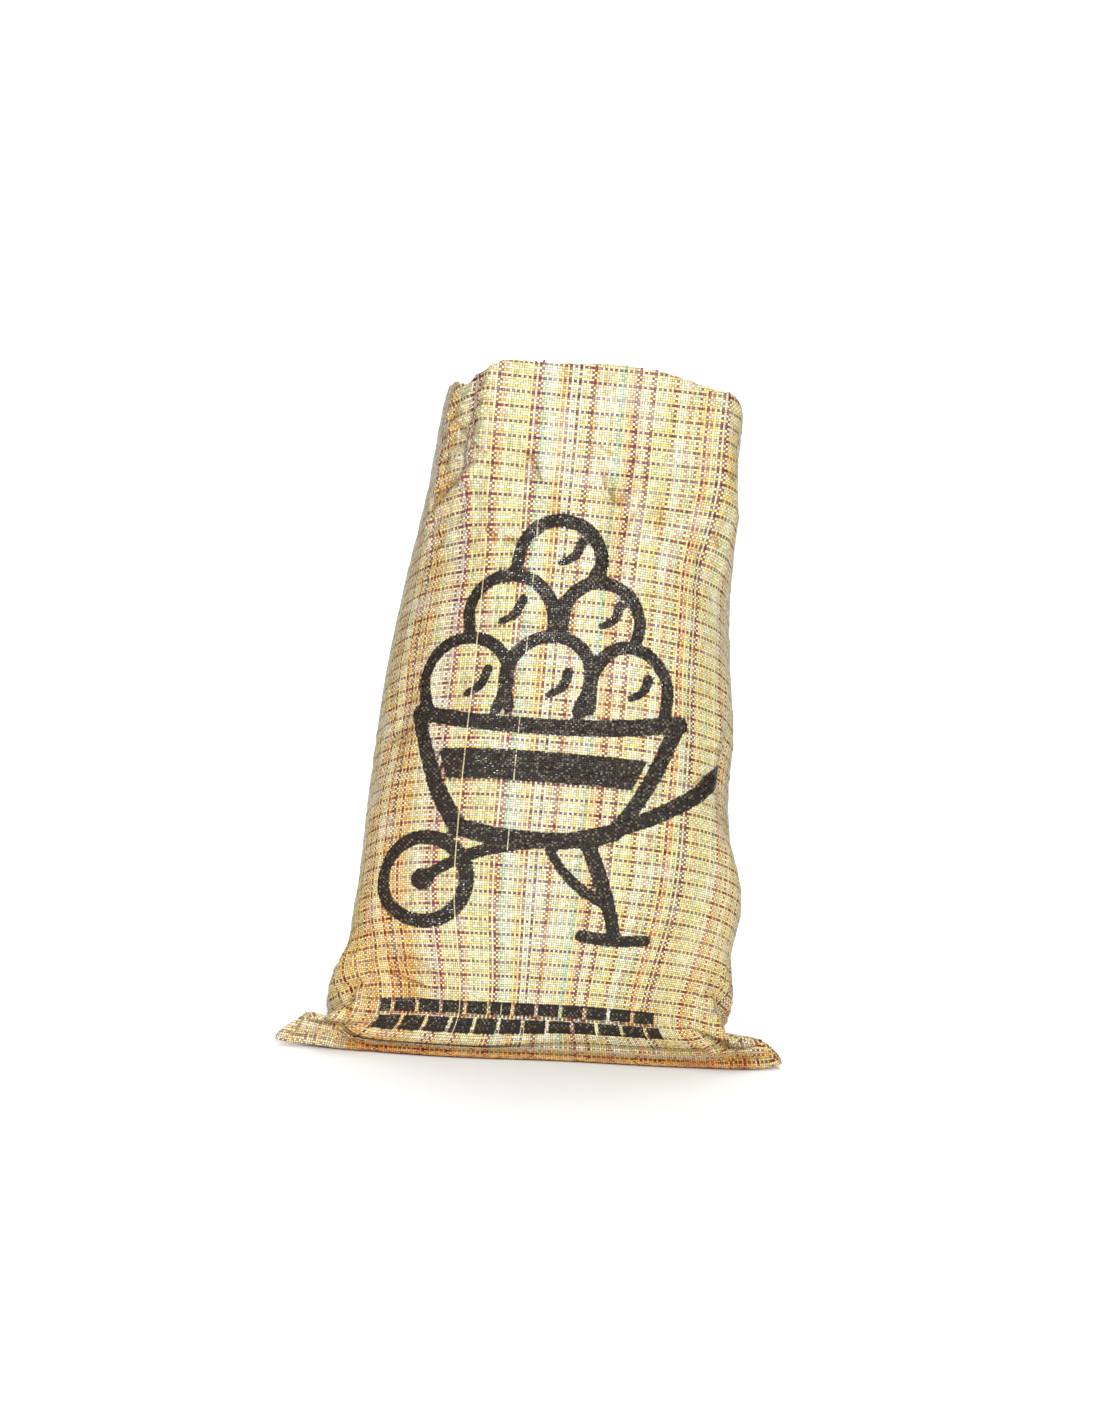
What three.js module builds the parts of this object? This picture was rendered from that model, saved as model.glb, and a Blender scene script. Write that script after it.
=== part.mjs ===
// Woven builders sack, standing open and empty on its sewn bottom.
//
// The sack is one circular-woven tube of flat tape. Its bottom is folded over once and sewn across
// both layers, and its mouth is cut raw. The closed hem lies forward on the ground, the back of
// the tube turns under as the base, and the two bottom corners lie flat as ears. All lengths are
// millimetres. +Z is up, -Y is the printed front, and the origin is on the ground under the base.
//
// A point of the cloth is named by two distances on the flat tube:
//   warp  how far it lies round the girth from the middle of the front, -550 to 550
//   weft  how far it lies above the bottom seam, from -HEM at the hem's fold to the mouth

import * as THREE from 'three'

// Driving dimensions
const GIRTH = 1100
const WALL = 2.2
const HEM = 25
const MOUTH = 756

// Flat half width of the lay-flat tube, which is also where the side creases run
const SIDE_CREASE = GIRTH / 4

// Mesh fineness: stations round the girth, a multiple of four so that the side creases are stations
const STATIONS = 64
const ARC_STEPS = 720

// Weft distances of the rows of the outer face, close together where the bottom turns under
const LOW_ROWS = [-HEM, 0, 14, 28, 48, 70, 90, 110, 135, 160, 190, 220]
const HIGH_ROW_COUNT = 18
const CAVITY_FLOOR_ROW = 48

// How far the two layers of an ear draw together, and how far the hollow stops short of an ear
const EAR_CLOSING = 60
const EAR_INSET = 16

// The seam bows back towards its ends, by this much at the left and at the right tip
const SEAM_BOW = { left: -12, right: 46, power: 4, fadesAt: 170 }

// One row for each section of the sack, taken along a weft: the weft's place at the middle of the
// front and of the back, its half widths, how full it is (0 where the layers lie flat together,
// 1 where it is a whole loop), the squareness of that loop, how far its sides slump to the ground,
// and how far the cloth is turned round to the left.
const SECTION_COLUMNS = [
  'weft', 'frontY', 'frontZ', 'backY', 'backZ', 'left', 'right',
  'fullness', 'squareLeft', 'squareRight', 'slump', 'turn',
]
const SECTIONS = [
  [-25, -87, 2.6, -87, 0, 272, 278, 0.00, 2.6, 2.6, 3.0, 0],
  [0, -63, 3.0, -63, 0, 272, 278, 0.00, 2.6, 2.6, 3.0, 0],
  [28, -80, 16, -35, 0, 250, 262, 0.22, 2.6, 2.6, 4.0, 0],
  [70, -95, 50, 7, 0, 229, 242, 0.55, 2.6, 2.6, 4.0, 0],
  [110, -99, 88, 47, 0, 219, 226, 0.85, 2.6, 2.6, 3.0, -1],
  [160, -102, 137, 91, 16, 206, 217, 1.00, 2.7, 2.8, 1.6, -3],
  [220, -106, 196, 111, 72, 196, 217, 1.00, 2.7, 2.8, 1.0, -5],
  [320, -111, 294, 126, 171, 190, 207, 1.00, 2.6, 2.8, 1.0, -9],
  [440, -117, 412, 141, 290, 184, 190, 1.00, 2.5, 2.8, 1.0, -13],
  [560, -125, 529, 155, 409, 171, 182, 1.00, 2.3, 2.9, 1.0, -17],
  [680, -134, 646, 167, 528, 154, 174, 1.00, 2.1, 3.0, 1.0, -21],
  [MOUTH, -140, 722, 173, 604, 147, 171, 1.00, 2.0, 3.0, 1.0, -24],
]

// One row for each main fold: a line from (warp0, weft0) to (warp1, weft1), how far it stands out
// (minus for a trough), its half width, and its edge (1 is a crease, 2 a soft roll).
const FOLD_COLUMNS = ['name', 'warp0', 'weft0', 'warp1', 'weft1', 'height', 'width', 'edge']
const FOLDS = [
  ['front left corner', -70, 470, -69, 940, 22, 34, 1],
  ['trough beside the corner', -100, 520, -94, 900, -9, 18, 2],
  ['left pleat', -128, 600, -120, 940, 9, 18, 2],
  ['corner crumple', -92, 655, -52, 540, -5, 16, 2],
  ['upper middle crumple', -38, 720, -12, 560, -4, 14, 2],
  ['upper right trough', 50, 740, 56, 500, -5, 20, 2],
  ['left dent', -172, 300, -160, 460, -6, 26, 2],
  ['right dent', 228, 440, 240, 600, -8, 28, 2],
  ['right pocket', 212, 280, 226, 440, -14, 30, 2],
  ['left bulge', -236, 60, -228, 210, 10, 34, 2],
  ['lower left crease', -205, 165, -95, 85, -6, 16, 2],
  ['back hollow', 500, 260, 470, 640, -16, 60, 2],
  ['back left ridge', -420, 380, -450, 900, 10, 34, 1],
  ['back right ridge', 395, 420, 420, 900, 12, 36, 1],
]

// The raw cut of the mouth wanders off the weft: trim along the weft at places round the girth.
const TRIM_COLUMNS = ['warp', 'trim']
const TRIMS = [
  [-550, 0], [-420, -4], [-300, 3], [-180, 10], [-132, 3], [-118, -5], [-95, 0], [-60, 1],
  [40, 0], [125, 1], [142, -4], [205, -2], [280, 3], [400, -3], [550, 0],
]

const asRecords = (columns, rows) =>
  rows.map((row) => Object.fromEntries(columns.map((name, i) => [name, row[i]])))

const sections = asRecords(SECTION_COLUMNS, SECTIONS)
const folds = asRecords(FOLD_COLUMNS, FOLDS)
const trims = asRecords(TRIM_COLUMNS, TRIMS)

const clamp01 = (t) => Math.min(1, Math.max(0, t))

const smoothStep = (low, high, value) => {
  const t = clamp01((value - low) / (high - low))
  return t * t * (3 - 2 * t)
}

const signedPower = (base, exponent) => Math.sign(base) * Math.abs(base) ** exponent

// Slopes of a monotone cubic through the table's points, so that it never overshoots a row.
function monotoneSlopes(xs, ys) {
  const gaps = xs.slice(1).map((x, i) => x - xs[i])
  const rises = gaps.map((gap, i) => (ys[i + 1] - ys[i]) / gap)
  return xs.map((_, i) => {
    if (i === 0) return rises[0]
    if (i === xs.length - 1) return rises[i - 1]
    if (rises[i - 1] * rises[i] <= 0) return 0
    const before = 2 * gaps[i] + gaps[i - 1]
    const after = gaps[i] + 2 * gaps[i - 1]
    return (before + after) / (before / rises[i - 1] + after / rises[i])
  })
}

function monotoneCurve(rows, key, column) {
  const xs = rows.map((row) => row[key])
  const ys = rows.map((row) => row[column])
  const slopes = monotoneSlopes(xs, ys)
  return (x) => {
    const last = xs.length - 2
    const i = Math.min(last, Math.max(0, xs.findIndex((edge) => x < edge) - 1))
    const at = x >= xs[last] ? last : i
    const gap = xs[at + 1] - xs[at]
    const t = clamp01((x - xs[at]) / gap)
    return (
      (1 + 2 * t) * (1 - t) ** 2 * ys[at] +
      t * (1 - t) ** 2 * gap * slopes[at] +
      t * t * (3 - 2 * t) * ys[at + 1] +
      t * t * (t - 1) * gap * slopes[at + 1]
    )
  }
}

const sectionCurves = Object.fromEntries(
  SECTION_COLUMNS.slice(1).map((name) => [name, monotoneCurve(sections, 'weft', name)])
)
const trimAt = monotoneCurve(trims, 'warp', 'trim')

const sectionAt = (weft) =>
  Object.fromEntries(Object.entries(sectionCurves).map(([name, curve]) => [name, curve(weft)]))

// The hollow's section: the front and back draw together, and the sides in, by one wall.
function drawnIn(section) {
  const depth = Math.hypot(section.frontY - section.backY, section.frontZ - section.backZ)
  const stepY = (WALL * (section.backY - section.frontY)) / depth
  const stepZ = (WALL * (section.backZ - section.frontZ)) / depth
  return {
    ...section,
    frontY: section.frontY + stepY,
    frontZ: section.frontZ + stepZ,
    backY: section.backY - stepY,
    backZ: section.backZ - stepZ,
    left: section.left - WALL,
    right: section.right - WALL,
  }
}

// A superellipse with its own squareness at the left and the right, in steps of equal arc.
// Each station holds across (from left to right) and share (1 at the front, -1 at the back).
function loopStations(section) {
  const halfDepth =
    Math.hypot(section.frontY - section.backY, section.frontZ - section.backZ) / 2
  const points = []
  let arc = 0
  for (let k = 0; k <= ARC_STEPS; k += 1) {
    const turn = -Math.PI + (2 * Math.PI * k) / ARC_STEPS
    const right = turn > 0
    const exponent = 2 / (right ? section.squareRight : section.squareLeft)
    const reach = right ? section.right : section.left
    const across = signedPower(Math.sin(turn), exponent) * reach
    const share = signedPower(Math.cos(turn), exponent)
    if (k > 0) {
      const before = points[k - 1]
      arc += Math.hypot(across - before.across, (share - before.share) * halfDepth)
    }
    points.push({ arc, across, share })
  }
  const middle = points[ARC_STEPS / 2].arc
  return { points, middle, total: arc }
}

function stationAt(loop, warp) {
  const wanted = loop.middle + (warp / GIRTH) * loop.total
  const arc = ((wanted % loop.total) + loop.total) % loop.total
  let low = 0
  let high = ARC_STEPS
  while (high - low > 1) {
    const half = (low + high) >> 1
    if (loop.points[half].arc <= arc) low = half
    else high = half
  }
  const from = loop.points[low]
  const to = loop.points[high]
  const t = clamp01((arc - from.arc) / Math.max(to.arc - from.arc, Number.EPSILON))
  return {
    across: from.across + (to.across - from.across) * t,
    share: from.share + (to.share - from.share) * t,
  }
}

// How far the folds push the cloth out at one place.
function foldHeight(warp, weft) {
  return folds.reduce((sum, fold) => {
    const along = (weft - fold.weft0) / (fold.weft1 - fold.weft0)
    const ends = smoothStep(0, 0.45, along) * smoothStep(0, 0.45, 1 - along)
    const line = fold.warp0 + (fold.warp1 - fold.warp0) * along
    const off = Math.abs(warp - line) / fold.width
    return sum + fold.height * ends * Math.exp(-(off ** fold.edge))
  }, 0)
}

// One weft of the cloth as a closed ring of points, one for each station round the girth.
function weftRing(weft, hollow) {
  const section = hollow ? drawnIn(sectionAt(weft)) : sectionAt(weft)
  const loop = loopStations(section)
  const flatScale = hollow ? 1 - EAR_INSET / SIDE_CREASE : 1
  const rise = 1 - smoothStep(0, SEAM_BOW.fadesAt, weft)
  const ring = []
  for (let i = 0; i < STATIONS; i += 1) {
    const warp = -2 * SIDE_CREASE + (i * GIRTH) / STATIONS
    const station = stationAt(loop, warp + section.turn)
    const isFront = Math.abs(warp) <= SIDE_CREASE
    const flatAcross = (isFront ? warp : Math.sign(warp) * 2 * SIDE_CREASE - warp) * flatScale
    const flatShare = THREE.MathUtils.clamp((SIDE_CREASE - Math.abs(warp)) / EAR_CLOSING, -1, 1)
    const across = (1 - section.fullness) * flatAcross + section.fullness * station.across
    const blend = (1 - section.fullness) * flatShare + section.fullness * station.share
    const forward = clamp01((blend + 1) / 2) ** section.slump
    const bow = across < 0 ? SEAM_BOW.left : SEAM_BOW.right
    const bowed = bow * Math.abs(across / SIDE_CREASE) ** SEAM_BOW.power * rise
    const lift = section.backZ + (section.frontZ - section.backZ) * forward
    ring.push({
      warp,
      x: across,
      y: section.backY + (section.frontY - section.backY) * forward + bowed,
      z: hollow ? Math.max(lift, WALL) : lift,
    })
  }
  return pushFolds(ring, weft)
}

// Moves each point of a ring out or in, square to the ring as seen from above.
function pushFolds(ring, weft) {
  return ring.map((point, i) => {
    const before = ring[(i + STATIONS - 1) % STATIONS]
    const after = ring[(i + 1) % STATIONS]
    const runX = after.x - before.x
    const runY = after.y - before.y
    const run = Math.max(Math.hypot(runX, runY), Number.EPSILON)
    const push = foldHeight(point.warp, weft)
    return new THREE.Vector3(
      point.x + (push * runY) / run,
      point.y - (push * runX) / run,
      point.z
    )
  })
}

// The topmost ring follows the raw cut, so each of its points slides along its own warp.
function trimmed(ring, ringBelow, rowGap) {
  return ring.map((point, i) => {
    const warp = -2 * SIDE_CREASE + (i * GIRTH) / STATIONS
    return point.clone().lerp(ringBelow[i], -trimAt(warp) / rowGap)
  })
}

function rings(rowWefts, hollow) {
  const list = rowWefts.map((weft) => weftRing(weft, hollow))
  const top = list.length - 1
  list[top] = trimmed(list[top], list[top - 1], rowWefts[top] - rowWefts[top - 1])
  return list
}

function rowWefts() {
  const lowest = LOW_ROWS[LOW_ROWS.length - 1]
  const high = Array.from(
    { length: HIGH_ROW_COUNT },
    (_, k) => lowest + ((k + 1) * (MOUTH - lowest)) / HIGH_ROW_COUNT
  )
  return [...LOW_ROWS, ...high]
}

// Index of the station that lies on the other layer, straight behind or before this one.
const opposite = (i) => (STATIONS + STATIONS / 2 - i) % STATIONS

// One closed shell: outer face, inner face, the cut rim between them, and a strip across the
// flat end of each where the front and the back layer meet.
function shellGeometry() {
  const wefts = rowWefts()
  const outer = rings(wefts, false)
  const inner = rings(wefts.filter((weft) => weft >= CAVITY_FLOOR_ROW), true)
  const positions = []
  const triangles = []

  const store = (list) =>
    list.map((ring) =>
      ring.map((point) => {
        positions.push(point.x, point.y, point.z)
        return positions.length / 3 - 1
      })
    )
  const quad = (a, b, c, d) => triangles.push(a, b, c, a, c, d)

  const wall = (rows, outwards) => {
    for (let j = 0; j + 1 < rows.length; j += 1) {
      for (let i = 0; i < STATIONS; i += 1) {
        const next = (i + 1) % STATIONS
        const corners = [rows[j][i], rows[j][next], rows[j + 1][next], rows[j + 1][i]]
        quad(...(outwards ? corners : corners.reverse()))
      }
    }
  }
  // Stations run from the middle of the back through the left crease to the middle of the front
  // and on through the right crease, so opposite stations share a place across.
  const flatEnd = (ring, downwards) => {
    const crease = STATIONS / 4
    for (let i = crease; i < 3 * crease; i += 1) {
      const corners = [ring[i], ring[opposite(i)], ring[opposite(i + 1)], ring[i + 1]]
      const distinct = corners.filter((corner, k) => corners.indexOf(corner) === k)
      const turned = downwards ? distinct : distinct.reverse()
      if (turned.length === 4) quad(...turned)
      else triangles.push(...turned)
    }
  }

  const outerRows = store(outer)
  const innerRows = store(inner)
  wall(outerRows, true)
  wall(innerRows, false)
  wall([outerRows[outerRows.length - 1], innerRows[innerRows.length - 1]], true)
  flatEnd(outerRows[0], true)
  flatEnd(innerRows[0], false)

  const geometry = new THREE.BufferGeometry()
  geometry.setAttribute('position', new THREE.Float32BufferAttribute(positions, 3))
  geometry.setIndex(triangles)
  geometry.computeVertexNormals()
  return geometry
}

const wovenTape = new THREE.MeshStandardMaterial({
  name: 'woven_tape',
  color: 0xe6d39a,
  roughness: 0.42,
  metalness: 0,
})

const sack = new THREE.Mesh(shellGeometry(), wovenTape)
sack.name = 'sack'

const group = new THREE.Group()
group.add(sack)

export default group
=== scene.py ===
"""A woven builders sack that stands open on its sewn bottom.

The sack is a round woven tube of flat plastic tape. Its bottom is folded in under itself and sewn,
its mouth is cut raw. Cloth places are given in millimetres: warp runs round the tube from -550 to
550 with 0 in the middle of the front, and weft runs up the tube from the seam at 0 to the mouth at
756. The finishes and the studio are in metres.
"""

import logging
import math
from collections.abc import Callable, Sequence
from dataclasses import dataclass, field
from enum import Enum

import bpy
import numpy as np
from mathutils import Matrix, Vector


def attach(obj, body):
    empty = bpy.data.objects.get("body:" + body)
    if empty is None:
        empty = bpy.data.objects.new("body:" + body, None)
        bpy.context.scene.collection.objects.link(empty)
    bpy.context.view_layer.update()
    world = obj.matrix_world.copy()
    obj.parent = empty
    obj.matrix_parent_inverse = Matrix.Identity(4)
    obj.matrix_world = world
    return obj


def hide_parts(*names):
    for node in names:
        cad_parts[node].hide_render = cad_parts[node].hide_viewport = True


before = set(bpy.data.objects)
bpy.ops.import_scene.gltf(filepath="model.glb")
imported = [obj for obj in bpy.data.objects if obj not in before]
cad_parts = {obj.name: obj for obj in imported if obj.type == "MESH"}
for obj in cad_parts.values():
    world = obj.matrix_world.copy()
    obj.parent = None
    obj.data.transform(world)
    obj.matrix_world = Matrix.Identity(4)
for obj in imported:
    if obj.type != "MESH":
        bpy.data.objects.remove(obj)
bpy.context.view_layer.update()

log = logging.getLogger("sack")

Array = np.ndarray
Socket = bpy.types.NodeSocket
Piece = bpy.types.Object
Material = bpy.types.Material

MM = 0.001
# half the tube's girth, and the place of its side creases when it lies flat
HALF_GIRTH = 550.0
SIDE = 275.0
# the share of its length over which a fold fades at each end
FOLD_END = 0.45
# how steep a rod stands, from 0 to 1, before its circle is laid out from y and not from z
STEEP = 0.7

# weft, front y and z, back y and z, left and right half widths, fullness of the round, squareness
# of the left and the right half, slump of the sides
SECTIONS = np.array([
    (-25, -93, 3.6, -93, 1.9, 272, 278, 0.00, 2.6, 2.6, 3.0),
    (0, -74, 12, -74, 9.5, 272, 278, 0.00, 2.6, 2.6, 3.0),
    (14, -84, 20, -63, 1.0, 190, 205, 0.12, 2.6, 2.6, 2.4),
    (34, -94, 37.5, -43, 0.0, 160, 150, 0.32, 2.6, 2.6, 1.9),
    (70, -100, 71, -7, 0.0, 190, 178, 0.62, 2.6, 2.6, 1.0),
    (110, -103, 108.5, 34, 0.0, 196, 204, 0.87, 2.6, 2.6, 0.65),
    (160, -105, 156, 83, 16.0, 197, 207, 1.00, 2.7, 2.8, 0.55),
    (220, -108, 212.5, 111, 72.0, 193, 215, 1.00, 2.7, 2.8, 0.6),
    (320, -113, 307, 126, 171.0, 190, 207, 1.00, 2.6, 2.8, 0.7),
    (440, -119, 420.5, 141, 290.0, 184, 189, 1.00, 2.5, 2.6, 0.8),
    (560, -126, 535, 155, 409.0, 171, 177, 1.00, 2.3, 2.6, 0.9),
    (680, -134.5, 649.5, 167, 528.0, 154, 165, 1.00, 2.1, 3.0, 1.0),
    (756, -140, 722.0, 173, 604.0, 147, 161, 1.00, 2.0, 3.0, 1.0),
], float)

# how far back the folded hem lies on the floor, at places from the left ear's tip to the right's
HEM_LINE = np.array([
    (-275, -14), (-240, -15), (-180, -16), (-120, -16), (-60, -11), (0, 0), (60, 8), (120, 12),
    (180, 20), (235, 30), (275, 50),
], float)

# how far the ears rise above the rest of the bottom, at places up the tube
EAR_RISE = np.array([
    (-25, 0), (-12, 4), (0, 7), (14, 18), (34, 15), (49, 8), (75, 0),
], float)

# warp and weft where a fold starts, warp and weft where it ends, height (less than 0 is a trough),
# width, and edge: 1 is a sharp crease and 2 a soft swell
FOLDS = (
    # the left corner of the front, and the panel beside it
    (-84, 480, -107, 722, 5, 16, 1.0), (-146, 595, -144, 940, 5, 16, 2.0),
    (-141, 729, -126, 635, -6, 14, 2.0), (-94, 656, -137, 601, 5, 9, 1.5),
    (-111, 625, -71, 550, -6, 10, 1.5), (-80, 635, -101, 550, 4, 9, 1.5),
    # high on the front
    (-63, 687, -20, 533, -5, 9, 1.5), (-40, 697, -1, 554, 4, 14, 2.0),
    (-33, 672, 7, 681, -3, 9, 2.0), (26, 599, 61, 666, -6, 9, 1.5), (52, 584, 83, 666, 4, 14, 2.0),
    (42, 635, 44, 472, -4, 16, 2.0),
    # the two edges
    (173, 729, 185, 625, -7, 18, 2.0), (104, 462, 140, 348, 4, 12, 1.5),
    (-180, 286, -174, 452, -6, 26, 2.0), (-159, 317, -145, 431, 3, 12, 2.0),
    # the pocket in the right side
    (215, 431, 222, 595, -4, 28, 2.0), (207, 254, 216, 431, -19, 24, 1.5),
    (176, 327, 187, 431, 4, 12, 1.5), (250, 212, 252, 421, -14, 60, 2.0),
    # low on the front and on the left
    (-4, 223, 17, 192, -3, 12, 2.0), (-240, 35, -236, 145, 12, 30, 2.0),
    (-208, 140, -96, 70, -7, 10, 1.5), (-192, 120, -91, 50, 5, 12, 2.0),
    # the back
    (500, 260, 470, 640, -16, 60, 2.0), (430, 560, 520, 420, 6, 16, 1.5),
    (-440, 260, -520, 150, -6, 16, 1.5), (-420, 380, -450, 900, 10, 34, 1.0),
    (395, 420, 420, 900, 12, 36, 1.0),
)

# the sharp small creases that are pressed in last, in the same terms as FOLDS
CREASES = (
    # the left corner of the front
    (-86, 540, -109, 764, 3.3, 6, 1.2),
    # high on the front
    (-60, 664, -38, 621, -4.8, 5, 1.3), (-52, 668, -30, 625, 3.3, 6, 1.5),
    (12, 656, 46, 607, -5.1, 5, 1.3), (22, 660, 56, 611, 3.6, 6, 1.5),
    (18, 607, 52, 625, -3.9, 5, 1.3), (30, 631, 36, 533, -3.0, 6, 1.5),
    (84, 635, 74, 580, -3.9, 5, 1.3), (93, 635, 84, 580, 2.7, 6, 1.5),
    (122, 595, 140, 554, -3.3, 6, 1.5), (-106, 595, -76, 558, -5.7, 5, 1.3),
    (-96, 601, -66, 564, 3.6, 6, 1.5), (-84, 576, -54, 556, -4.2, 5, 1.3),
    (-194, 586, -90, 642, 5.0, 12, 1.3), (-194, 602, -98, 660, -5.5, 14, 1.5),
    (-160, 687, -118, 656, -3.9, 7, 1.5), (-132, 704, -120, 635, 3.6, 6, 1.5),
    (150, 369, 230, 387, 5.4, 6, 1.3), (176, 354, 226, 369, -6.8, 8, 1.6),
    (140, 319, 186, 354, -4.2, 6, 1.5), (196, 317, 216, 356, 4.5, 6, 1.5),
    (-214, 389, -164, 373, 4.5, 7, 1.5), (-212, 369, -160, 354, -5.4, 7, 1.5),
    (-206, 128, -100, 68, -4.8, 6, 1.3), (-198, 140, -96, 79, 3.0, 7, 1.5),
    (-176, 77, -122, 46, -3.6, 6, 1.5), (-263, 8, -251, -27, -3.6, 5, 1.5),
    (-254, 8, -243, -27, 2.4, 7, 1.5), (-30, 760, -22, 714, -2.6, 5, 1.5),
    (16, 764, 20, 710, -2.8, 5, 1.5), (-4, 764, -2, 714, 3.0, 9, 2.0),
)

# x and y of the sack's corners at its mouth, from the middle of the back and round by the left
MOUTH_CORNERS = np.array([
    (10, 173), (-70, 162), (-120, 130), (-148, 70), (-152, 10), (-147, -50), (-141, -90),
    (-106, -143), (150, -139), (166, -124), (172, -96), (171, 20), (160, 90), (112, 160), (10, 173),
], float)

# how far the raw edge at the mouth stands above or below its line, at places round the tube
TRIMS = np.array([
    (-550, 0), (-444, -4), (-324, 3), (-204, 4), (-187, -4), (-170, -9), (-154, -13), (-145, -18),
    (-135, -23), (-128, -22), (-125, -17), (-112, -17), (-103, -15), (-92, -9), (-84, -6),
    (-34, -5), (16, 0), (66, -2), (101, -10), (121, -16), (138, -17), (151, -19), (165, -25),
    (185, -26), (256, -8), (376, -3), (550, 0),
], float)


def smooth_step(low: float, high: float, value: Array) -> Array:
    """Rises from 0 at low to 1 at high, level at both ends.

    Args:
        low: where the rise starts.
        high: where it ends, which may be below low.
        value: the places to work it out at.

    Returns:
        t * t * (3 - 2 t), with t the share of the way from low to high.
    """
    share = np.clip((value - low) / (high - low), 0.0, 1.0)
    return share * share * (3 - 2 * share)


def monotone_curve(at: Array, places: Array, values: Array) -> Array:
    """A smooth curve through given points that never swings past them.

    Args:
        at: where the curve is wanted.
        places: the rising places of the points.
        values: the points' values.

    Returns:
        The cubic through the points, with slopes that are the harmonic mean of its neighbours'.
    """
    step = np.diff(places)
    rise = np.diff(values) / step
    before, after = 2 * step[1:] + step[:-1], step[1:] + 2 * step[:-1]
    steady = rise[1:] * rise[:-1] > 0
    low, high = np.where(steady, rise[:-1], 1.0), np.where(steady, rise[1:], 1.0)
    mean = np.where(steady, (before + after) / (before / low + after / high), 0.0)
    slope = np.concatenate([rise[:1], mean, rise[-1:]])
    k = np.clip(np.searchsorted(places, at) - 1, 0, len(places) - 2)
    t = (at - places[k]) / step[k]
    start = (2 * t**3 - 3 * t**2 + 1) * values[k] + (t**3 - 2 * t**2 + t) * step[k] * slope[k]
    end = (3 * t**2 - 2 * t**3) * values[k + 1] + (t**3 - t**2) * step[k] * slope[k + 1]
    return start + end


def soft_noise(shape: tuple[int, int], spacing: float, wave: float, seed: int) -> Array:
    """Even noise over the cloth with bumps of about one size, that joins up round the tube.

    Args:
        shape: rows up the tube and columns round it.
        spacing: the distance between neighbours.
        wave: the size of a bump and the hollow beside it.
        seed: what the noise is drawn from.

    Returns:
        White noise with its other wavelengths filtered out, scaled to a spread of 1.
    """
    white = np.fft.rfft2(np.random.default_rng(seed).standard_normal(shape))
    up, round_ = np.fft.fftfreq(shape[0], spacing)[:, None], np.fft.rfftfreq(shape[1], spacing)
    octaves = np.log2(np.maximum(np.hypot(up, round_), 1e-6) * wave)
    narrow = 2.2
    noise = np.fft.irfft2(white * np.exp(-(octaves**2) * narrow), shape)
    return noise / noise.std()


def unit(vectors: Array, spare: float = 0.0) -> Array:
    """Vectors brought to a length of 1; a spare length keeps those that have none at 0."""
    return vectors / (np.linalg.norm(vectors, axis=-1, keepdims=True) + spare)


def run_along(x: Array, share: Array, depth: float) -> Array:
    """How far along an outline its points are; share goes from -1 to 1 over the outline's depth."""
    return np.concatenate([[0.0], np.cumsum(np.hypot(np.diff(x), np.diff(share) * depth / 2))])


def maths(operation: str, other_first: bool = False) -> Callable[..., "Num"]:
    """Makes one of Num's operators.

    Args:
        operation: what its Math node works out.
        other_first: whether the other number comes before the Num.

    Returns:
        The method.
    """

    def operator(self: "Num", *others: "Num | float") -> "Num":
        """Adds the Math node."""
        return self.board.math(operation, *((*others, self) if other_first else (self, *others)))

    return operator


class Num:
    """A number that changes over a surface: a node's socket with Python's operators."""

    def __init__(self, board: "Board", socket: Socket) -> None:
        """Keeps the socket and the board it is on."""
        self.board, self.socket = board, socket

    __add__ = __radd__ = maths("ADD")
    __sub__ = maths("SUBTRACT")
    __rsub__ = maths("SUBTRACT", other_first=True)
    __mul__ = __rmul__ = maths("MULTIPLY")
    __truediv__ = maths("DIVIDE")
    __mod__ = maths("FLOORED_MODULO")
    __lt__ = maths("LESS_THAN")
    __gt__ = maths("GREATER_THAN")
    __abs__ = maths("ABSOLUTE")
    whole = maths("FLOOR")
    cosine = maths("COSINE")
    sine = maths("SINE")
    least = maths("MINIMUM")
    most = maths("MAXIMUM")

    def rise(self, low: float, high: float) -> "Num":
        """Goes smoothly from 0 to 1.

        Args:
            low: where it is 0, which may be the larger of the two.
            high: where it is 1.

        Returns:
            The share of the way.
        """
        values = {"Value": self, "From Min": min(low, high), "From Max": max(low, high)}
        values.update({"To Min": float(low > high), "To Max": float(low < high)})
        settings = {"interpolation_type": "SMOOTHSTEP"}
        return self.board.number("ShaderNodeMapRange", settings, values)


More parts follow.
